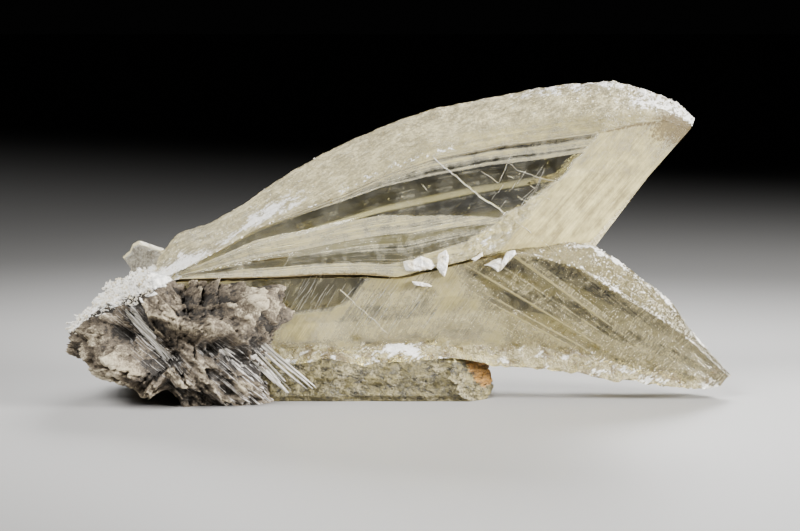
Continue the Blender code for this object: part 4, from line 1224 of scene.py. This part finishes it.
def needle_mesh(name, starts, ends, widths, rng):
    """Many needles as one mesh: six-sided rods with slanted ends, a little bent, from starts to ends."""
    count, sides, steps = len(starts), 6, 7
    share = np.linspace(0.0, 1.0, steps)
    way = ends - starts
    way = way / np.linalg.norm(way, axis=1, keepdims=True)
    first = np.cross(way, (0.0, 1.0, 0.0))
    first /= np.linalg.norm(first, axis=1, keepdims=True)
    second = np.cross(way, first)
    turn = np.linspace(0.0, 2.0 * np.pi, sides, endpoint=False)
    taper = 0.5 * widths[:, None] * np.interp(share, (0.0, 0.1, 0.8, 1.0), (0.7, 1.0, 0.9, 0.35))
    middle = starts[:, None, :] + (ends - starts)[:, None, :] * share[None, :, None]
    bend = rng.uniform(-0.25, 0.25, (count, 1)) * np.sin(np.pi * share)
    middle = middle + bend[..., None] * first[:, None, :]
    ring = (first[:, None, None, :] * np.cos(turn)[None, None, :, None]
            + second[:, None, None, :] * (0.7 * np.sin(turn))[None, None, :, None])
    points = middle[:, :, None, :] + ring * taper[:, :, None, None]
    points[..., 2] = np.maximum(points[..., 2], NEEDLE_CLEARANCE)
    index, _, quads = tube_faces(steps, sides)
    offsets = np.arange(count) * steps * sides
    faces = (quads[None] + offsets[:, None, None]).reshape(-1, 4).tolist()
    faces += (index[0][::-1][None] + offsets[:, None]).tolist()
    faces += (index[-1][None] + offsets[:, None]).tolist()
    mesh = mesh_of(name, points.reshape(-1, 3), faces)
    face_outwards(mesh)
    return mesh


def front_depth(piece, x, z):
    """The depth of a piece's front at places in the front view: that of its nearest forward vertex."""
    count = len(piece.data.vertices)
    spots, normals = np.empty(count * 3), np.empty(count * 3)
    piece.data.vertices.foreach_get("co", spots)
    piece.data.vertices.foreach_get("normal", normals)
    spots = spots.reshape(-1, 3) / MM - SHIFT
    spots = spots[normals.reshape(-1, 3)[:, 1] < -0.25]
    apart = (spots[None, :, 0] - x[:, None]) ** 2 + (spots[None, :, 2] - z[:, None]) ** 2
    return spots[apart.argmin(axis=1), 1]


def short_scratches():
    """Fine straight scratches in patches, each as its half width and its two ends."""
    rng = np.random.default_rng(3)
    found = []
    for count, x, z, spread_x, spread_z, degrees, length in SCRATCH_PATCHES:
        place = rng.normal((x, z), (spread_x, spread_z), (count, 2))
        way = np.radians(degrees + rng.normal(0.0, 3.0, count))
        step = np.stack([np.cos(way), np.sin(way)], axis=1) * rng.uniform(0.3, 0.8, (count, 1)) * length
        widths = rng.uniform(0.006, 0.020, count)
        ends = zip(widths, place - step, place + step)
        found += [(half, tuple(low), tuple(high)) for half, low, high in ends]
    return tuple(found)


def crack_mesh(name, body):
    """The cracks as thin slanted films that open on the body's front, each along its own line.

    A film's section is a narrow wedge: its two front corners stand just clear of the surface, and
    its two back corners lie deeper and leaning to one side.
    """
    points, faces = [], []
    for half, *line in CRACKS + short_scratches():
        length = lengths_along(line)
        at = np.linspace(0.0, length[-1], max(6, int(length[-1] / CRACK_STEP)))
        x, z = (np.interp(at, length, column) for column in zip(*line))
        wobble = 0.25 * smooth_noise(columns_of(x, 0.0, z), 1.6, 71)
        x, z = x + wobble, z + wobble
        way = np.stack([np.gradient(x), np.gradient(z)], axis=1)
        way /= np.linalg.norm(way, axis=1, keepdims=True)
        across = np.stack([-way[:, 1], way[:, 0]], axis=1)
        size = half * (1.0 + 0.5 * smooth_noise(columns_of(x, 5.0, z), 1.1, 72))
        size = size * np.interp(at, (0.0, 1.0, length[-1] - 1.0, length[-1]), (0.4, 1.0, 1.0, 0.4))
        deep = CRACK_DEPTH * (0.12 + 4.0 * half)
        surface = front_depth(body, x, z)
        ring = []
        for side, depth, lean in ((1, -0.05, 0.0), (-1, -0.05, 0.0), (-0.4, deep, 0.9), (0.4, deep, 0.9)):
            offset = across * (side * size + lean * deep * 0.25)[:, None]
            ring.append(columns_of(x + offset[:, 0], surface + depth, z + offset[:, 1]))
        index, _, quads = tube_faces(len(at), len(ring), len(points))
        faces += quads.tolist() + [index[0][::-1].tolist(), index[-1].tolist()]
        points += np.stack(ring, axis=1).reshape(-1, 3).tolist()
    mesh = mesh_of(name, points, faces)
    face_outwards(mesh)
    return mesh


class CrystalLooks(bpy.types.PropertyGroup):
    """The colours and clearness of the specimen's finishes."""

    clear: FloatVectorProperty(name="Clear", description="Tint of the clear windows", subtype="COLOR",
                               default=(0.90, 0.86, 0.70))
    smoky: FloatVectorProperty(name="Smoky", description="Tint of the lower blade's clear parts",
                               subtype="COLOR", default=(0.46, 0.40, 0.23))
    cream: FloatVectorProperty(name="Cream", description="Cloudy growth bands", subtype="COLOR",
                               default=(0.66, 0.57, 0.265))
    cream_dark: FloatVectorProperty(name="Dark cream", description="Hollows of the cloudy bands",
                                    subtype="COLOR", default=(0.22, 0.18, 0.08))
    olive: FloatVectorProperty(name="Olive", description="Tinted parts of the lower blade", subtype="COLOR",
                               default=(0.25, 0.205, 0.075))
    olive_dark: FloatVectorProperty(name="Dark olive", description="Depths of the foot blade",
                                    subtype="COLOR", default=(0.070, 0.060, 0.032))
    frosted: FloatVectorProperty(name="Frosted", description="Etched faces", subtype="COLOR",
                                 default=(0.86, 0.77, 0.47))
    frosted_dark: FloatVectorProperty(name="Dark frosted", description="Grain of the etched faces",
                                      subtype="COLOR", default=(0.40, 0.345, 0.205))
    white: FloatVectorProperty(name="White", description="Crusts and flakes", subtype="COLOR",
                               default=(0.88, 0.86, 0.80))
    # Also the colour of the painted glints along the rock's fibres.
    satin: FloatVectorProperty(name="Satin", description="Silky splinters", subtype="COLOR",
                               default=(0.78, 0.74, 0.69))
    grey: FloatVectorProperty(name="Grey", description="The side blade", subtype="COLOR",
                              default=(0.46, 0.43, 0.35))
    grey_dark: FloatVectorProperty(name="Dark grey", description="Specks of the side blade",
                                   subtype="COLOR", default=(0.20, 0.18, 0.145))
    rock: FloatVectorProperty(name="Rock", description="The rock's body", subtype="COLOR",
                              default=(0.105, 0.08, 0.052))
    # Painted highlight: the lighter colour painted on the rock's raised relief, mixed with noise.
    raised_rock_highlight: FloatVectorProperty(name="Light rock", description="The rock's raised parts",
                                    subtype="COLOR", default=(0.36, 0.30, 0.20))
    # Real crust colour, also used for a painted highlight on the rock's raised edges.
    crust: FloatVectorProperty(name="Rock crust", description="Pale edges of the rock", subtype="COLOR",
                               default=(0.68, 0.60, 0.43))
    # Painted shade: the near-black colour painted into the rock's hollows and the foot blade's pits.
    cavity_shade: FloatVectorProperty(name="Cavity", description="Hollows and pits", subtype="COLOR",
                                default=(0.014, 0.010, 0.006))
    brown: FloatVectorProperty(name="Brown", description="Brown grain of the seam and the tip",
                               subtype="COLOR", default=(0.125, 0.085, 0.032))
    stain: FloatVectorProperty(name="Stain", description="Iron stain on the foot blade", subtype="COLOR",
                               default=(0.44, 0.215, 0.03))
    stain_dark: FloatVectorProperty(name="Dark stain", description="Depths of the stain", subtype="COLOR",
                                    default=(0.20, 0.095, 0.015))
    absorption: FloatVectorProperty(name="Absorption", description="Light that the crystal keeps",
                                    subtype="COLOR", default=(0.93, 0.90, 0.64))
    absorption_density: FloatProperty(name="Absorption density", description="Strength of the absorption",
                                      default=54.0, min=0.0)
    cloud_opacity: FloatProperty(name="Cloud opacity", description="How solid the cloudiest bands look",
                                 subtype="FACTOR", default=0.70, min=0.0, max=1.0)
    grain_size: FloatProperty(name="Grain size", description="Usual size of a crust grain",
                              subtype="DISTANCE", unit="LENGTH", default=0.00029)
    rock_grains: IntProperty(name="Rock grains", description="Crust grains on the rock",
                             default=3600, min=0)
    blade_grains: IntProperty(name="Blade grains", description="Crust grains on the blades",
                              default=1200, min=0)


class StageLooks(bpy.types.PropertyGroup):
    """The floor, the lights and the camera."""

    floor: FloatVectorProperty(name="Floor", description="Colour of the floor", subtype="COLOR",
                               default=(0.38, 0.372, 0.36))
    world: FloatVectorProperty(name="World", description="Light from all round", subtype="COLOR",
                               default=(0.0015, 0.0015, 0.0015))
    key_power: FloatProperty(name="Key", description="Power of the soft light at the left front",
                             default=0.85)
    rim_power: FloatProperty(name="Rim", description="Power of the soft light above and behind",
                             default=0.60)
    fill_power: FloatProperty(name="Fill", description="Power of the large soft light at the right",
                              default=8.0)
    spread: FloatProperty(name="Spread", description="Width of the lights' beams", subtype="ANGLE",
                          unit="ROTATION", default=math.radians(60.0))
    lens: FloatProperty(name="Lens", description="Focal length in millimetres", default=103.8)
    camera_distance: FloatProperty(name="Distance", description="From the camera to the crystal",
                                   subtype="DISTANCE", unit="LENGTH", default=0.62)
    camera_height: FloatProperty(name="Aim height", description="Height that the camera looks at",
                                 subtype="DISTANCE", unit="LENGTH", default=0.034)
    camera_elevation: FloatProperty(name="Elevation", description="How far the camera looks down",
                                    subtype="ANGLE", unit="ROTATION", default=math.radians(6.0))


class SELENITE_OT_twin(bpy.types.Operator):
    """Grows the two large blades together as one clear body"""

    bl_idname = "selenite.twin"
    bl_label = "Swallowtail twin"

    def execute(self, context):
        material = clear_selenite(context.scene.crystal_looks)
        mesh = combined_mesh(lower_blade(), upper_blade(), "UNION")
        twin = new_piece("clear_twin", mesh, material)
        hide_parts("selenite_twin")
        return {"FINISHED"}


class SELENITE_OT_flakes(bpy.types.Operator):
    """Adds the chipped white flakes along the seam"""

    bl_idname = "selenite.flakes"
    bl_label = "Seam flakes"

    def execute(self, context):
        material = white_crust(context.scene.crystal_looks)
        for number, outline in enumerate(FLAKES, start=1):
            name = "seam_flake_%d" % number
            mesh = plate_body(name, outline, FLAKE_FRONT, FLAKE_BACK, FLAKE_RIM, FLAKE_BULGE, 80 + number)
            new_piece(name, mesh, material)
        return {"FINISHED"}


class SELENITE_OT_cracks(bpy.types.Operator):
    """Adds the cracks that show inside the clear windows"""

    bl_idname = "selenite.cracks"
    bl_label = "Inner cracks"

    def execute(self, context):
        material = crack_veil(context.scene.crystal_looks)
        mesh = crack_mesh("inner_cracks", bpy.data.objects["clear_twin"])
        new_piece("inner_cracks", mesh, material)
        return {"FINISHED"}


class SELENITE_OT_foot(bpy.types.Operator):
    """Makes the stained blade that the twin stands on"""

    bl_idname = "selenite.foot"
    bl_label = "Foot blade"

    def execute(self, context):
        material = stained_selenite(context.scene.crystal_looks)
        mesh = combined_mesh(foot_body(), twin_room(), "DIFFERENCE")
        foot = new_piece("stained_foot", mesh, material)
        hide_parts("foot_blade")
        return {"FINISHED"}


class SELENITE_OT_side(bpy.types.Operator):
    """Makes the small grey plate behind the root"""

    bl_idname = "selenite.side"
    bl_label = "Side blade"

    def execute(self, context):
        material = cloudy_selenite(context.scene.crystal_looks)
        plate = plate_body("grey_side_blade", SIDE_OUTLINE, SIDE_FRONT, SIDE_BACK, SIDE_RIM, SIDE_BULGE, 90)
        mesh = combined_mesh(plate, twin_room(), "DIFFERENCE")
        side = new_piece("grey_side_blade", mesh, material)
        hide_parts("side_blade")
        return {"FINISHED"}


class SELENITE_OT_rock(bpy.types.Operator):
    """Makes the rough rock that holds the crystals"""

    bl_idname = "selenite.rock"
    bl_label = "Rock"

    def execute(self, context):
        material = gypsum_rock(context.scene.crystal_looks)
        mesh = combined_mesh(rock_body(), twin_room(), "DIFFERENCE")
        rock = new_piece("rough_rock", mesh, material, ROCK_SHARP_DEGREES)
        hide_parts("matrix_rock")
        return {"FINISHED"}


class SELENITE_OT_crust(bpy.types.Operator):
    """Scatters the white grains over the rock's upper edge and the blades' etched edges"""

    bl_idname = "selenite.crust"
    bl_label = "White crust"

    def execute(self, context):
        look = context.scene.crystal_looks
        material = white_crust(look)
        size = look.grain_size / MM
        rng = np.random.default_rng(5)
        turn = np.radians(rng.uniform(*ROCK_CRUST_TURN, look.rock_grains))
        deep = rng.uniform(*ROCK_CRUST_DEPTH, look.rock_grains)
        side = np.sqrt(1.0 - deep ** 2)
        ways = columns_of(np.cos(turn) * side, deep, np.sin(turn) * side)
        places, outward, *_ = on_rock(ways)
        places -= outward * 0.1
        sizes = size * rng.uniform(0.5, 1.7, look.rock_grains)
        new_piece("rock_crust", grain_mesh("rock_crust", places, sizes, rng), material)
        places = blade_crust_places(rng, look.blade_grains)
        sizes = size * rng.uniform(0.35, 1.0, len(places))
        new_piece("blade_crust", grain_mesh("blade_crust", places, sizes, rng), material)
        return {"FINISHED"}


def blade_crust_places(rng, count):
    """Places on the etched faces, in patches: between the front edge and the ridge at a station."""
    found = []
    for stations, middle, spread, share_middle, share_spread, part in BLADE_CRUST_PATCHES:
        number = int(count * part)
        at = np.clip(rng.normal(middle, spread, number), 0.0, len(stations) - 1.0)
        share = np.clip(rng.normal(share_middle, share_spread, number), 0.0, 1.0)[:, None]
        row = rows_at(stations, at)
        if stations is UPPER_STATIONS:
            edge = columns_of(row[:, 2], -HALF_THICKNESS * row[:, 6], row[:, 3])
            ridge = columns_of(row[:, 4], 0.0, row[:, 5])
        else:
            edge = columns_of(row[:, 3], row[:, 7], row[:, 4])
            ridge = row[:, :3]
        found.append(edge + (ridge - edge) * share)
    return np.concatenate(found)


class SELENITE_OT_splinters(bpy.types.Operator):
    """Lays the silky splinters over the rock and the foot blade"""

    bl_idname = "selenite.splinters"
    bl_label = "Satin splinters"

    def execute(self, context):
        rng = np.random.default_rng(11)
        starts, ends = [], []
        for *line, count, spread in SPLINTER_BUNDLES:
            start, end = np.array(line[:3]), np.array(line[3:])
            across = SPLINTER_SPREAD_WAY * rng.uniform(-spread, spread, count)[:, None]
            inward = SPLINTER_INWARD_WAY * rng.uniform(0.0, 0.8, count)[:, None]
            trim = rng.uniform(0.0, 0.32, (2, count, 1))
            starts.append(start + across + (end - start) * trim[0] + inward)
            ends.append(end + across * 0.9 - (end - start) * trim[1] + inward * 0.3)
        starts, ends = np.concatenate(starts), np.concatenate(ends)
        widths = rng.uniform(0.25, 0.95, len(starts))
        mesh = needle_mesh("satin_splinters", starts, ends, widths, rng)
        new_piece("satin_splinters", mesh, satin_spar(context.scene.crystal_looks))
        return {"FINISHED"}


class SELENITE_OT_stage(bpy.types.Operator):
    """Sets the pale floor, the soft lights and the camera"""

    bl_idname = "selenite.stage"
    bl_label = "Stage"

    def execute(self, context):
        stage = context.scene.stage_looks
        floor = pale_floor(stage)
        target = Vector((SHIFT[0] * MM, SHIFT[1] * MM, stage.camera_height))
        for name, place, size in LIGHTS:
            power = getattr(stage, name + "_power")
            soft_light(name + "_light", place, target, size, power, stage.spread)
        world = bpy.data.worlds.new("dim_room")
        world.use_nodes = True
        world.node_tree.nodes["Background"].inputs["Color"].default_value = (*stage.world, 1.0)
        context.scene.world = world
        camera_data = bpy.data.cameras.new("front_view")
        camera_data.lens = stage.lens
        camera_data.sensor_width = SENSOR_WIDTH
        camera_data.clip_start = CLIP_START
        camera = put_in_scene("front_view", camera_data)
        back = Vector((0.0, -math.cos(stage.camera_elevation), math.sin(stage.camera_elevation)))
        camera.location = target + back * stage.camera_distance
        camera.rotation_euler = (math.pi / 2 - stage.camera_elevation, 0.0, 0.0)
        context.scene.camera = camera
        return {"FINISHED"}


def pale_floor(stage):
    """A large plain matte floor, at height 0, on which the specimen rests."""
    shape = bmesh.new()
    bmesh.ops.create_grid(shape, x_segments=1, y_segments=1, size=FLOOR_HALF_SIZE)
    mesh = bpy.data.meshes.new("pale_floor")
    shape.to_mesh(mesh)
    shape.free()
    f = Finish("pale_floor")
    f.set(base_color=stage.floor[:], roughness=0.55)
    mesh.materials.append(f.material)
    return put_in_scene("pale_floor", mesh)


def soft_light(name, place, target, size, power, spread):
    """A rectangular softbox that looks at the target, with a grid that narrows its beam."""
    light = bpy.data.lights.new(name, "AREA")
    light.shape = "RECTANGLE"
    light.size, light.size_y = size
    light.energy = power
    light.spread = spread
    lamp = put_in_scene(name, light)
    lamp.location = place
    lamp.rotation_euler = (target - Vector(place)).to_track_quat("-Z", "Y").to_euler()


BUILDERS = (
    SELENITE_OT_stage, SELENITE_OT_twin, SELENITE_OT_flakes, SELENITE_OT_cracks, SELENITE_OT_foot,
    SELENITE_OT_side, SELENITE_OT_rock, SELENITE_OT_crust, SELENITE_OT_splinters,
)


class SELENITE_PT_panel(bpy.types.Panel):
    """Lists the specimen's builders and their settings"""

    bl_label = "Selenite specimen"
    bl_idname = "SELENITE_PT_panel"
    bl_space_type = "VIEW_3D"
    bl_region_type = "UI"
    bl_category = "Selenite"

    def draw(self, context):
        for builder in BUILDERS:
            self.layout.operator(builder.bl_idname)
        for group in (context.scene.crystal_looks, context.scene.stage_looks):
            box = self.layout.box()
            for name in group.__annotations__:
                box.prop(group, name)


CLASSES = (CrystalLooks, StageLooks, *BUILDERS, SELENITE_PT_panel)


def register():
    for cls in CLASSES:
        bpy.utils.register_class(cls)
    bpy.types.Scene.crystal_looks = PointerProperty(type=CrystalLooks)
    bpy.types.Scene.stage_looks = PointerProperty(type=StageLooks)


def unregister():
    del bpy.types.Scene.stage_looks
    del bpy.types.Scene.crystal_looks
    for cls in reversed(CLASSES):
        bpy.utils.unregister_class(cls)


def main():
    register()
    for builder in BUILDERS:
        group, name = builder.bl_idname.split(".")
        getattr(getattr(bpy.ops, group), name)()


if __name__ == "__main__":
    main()
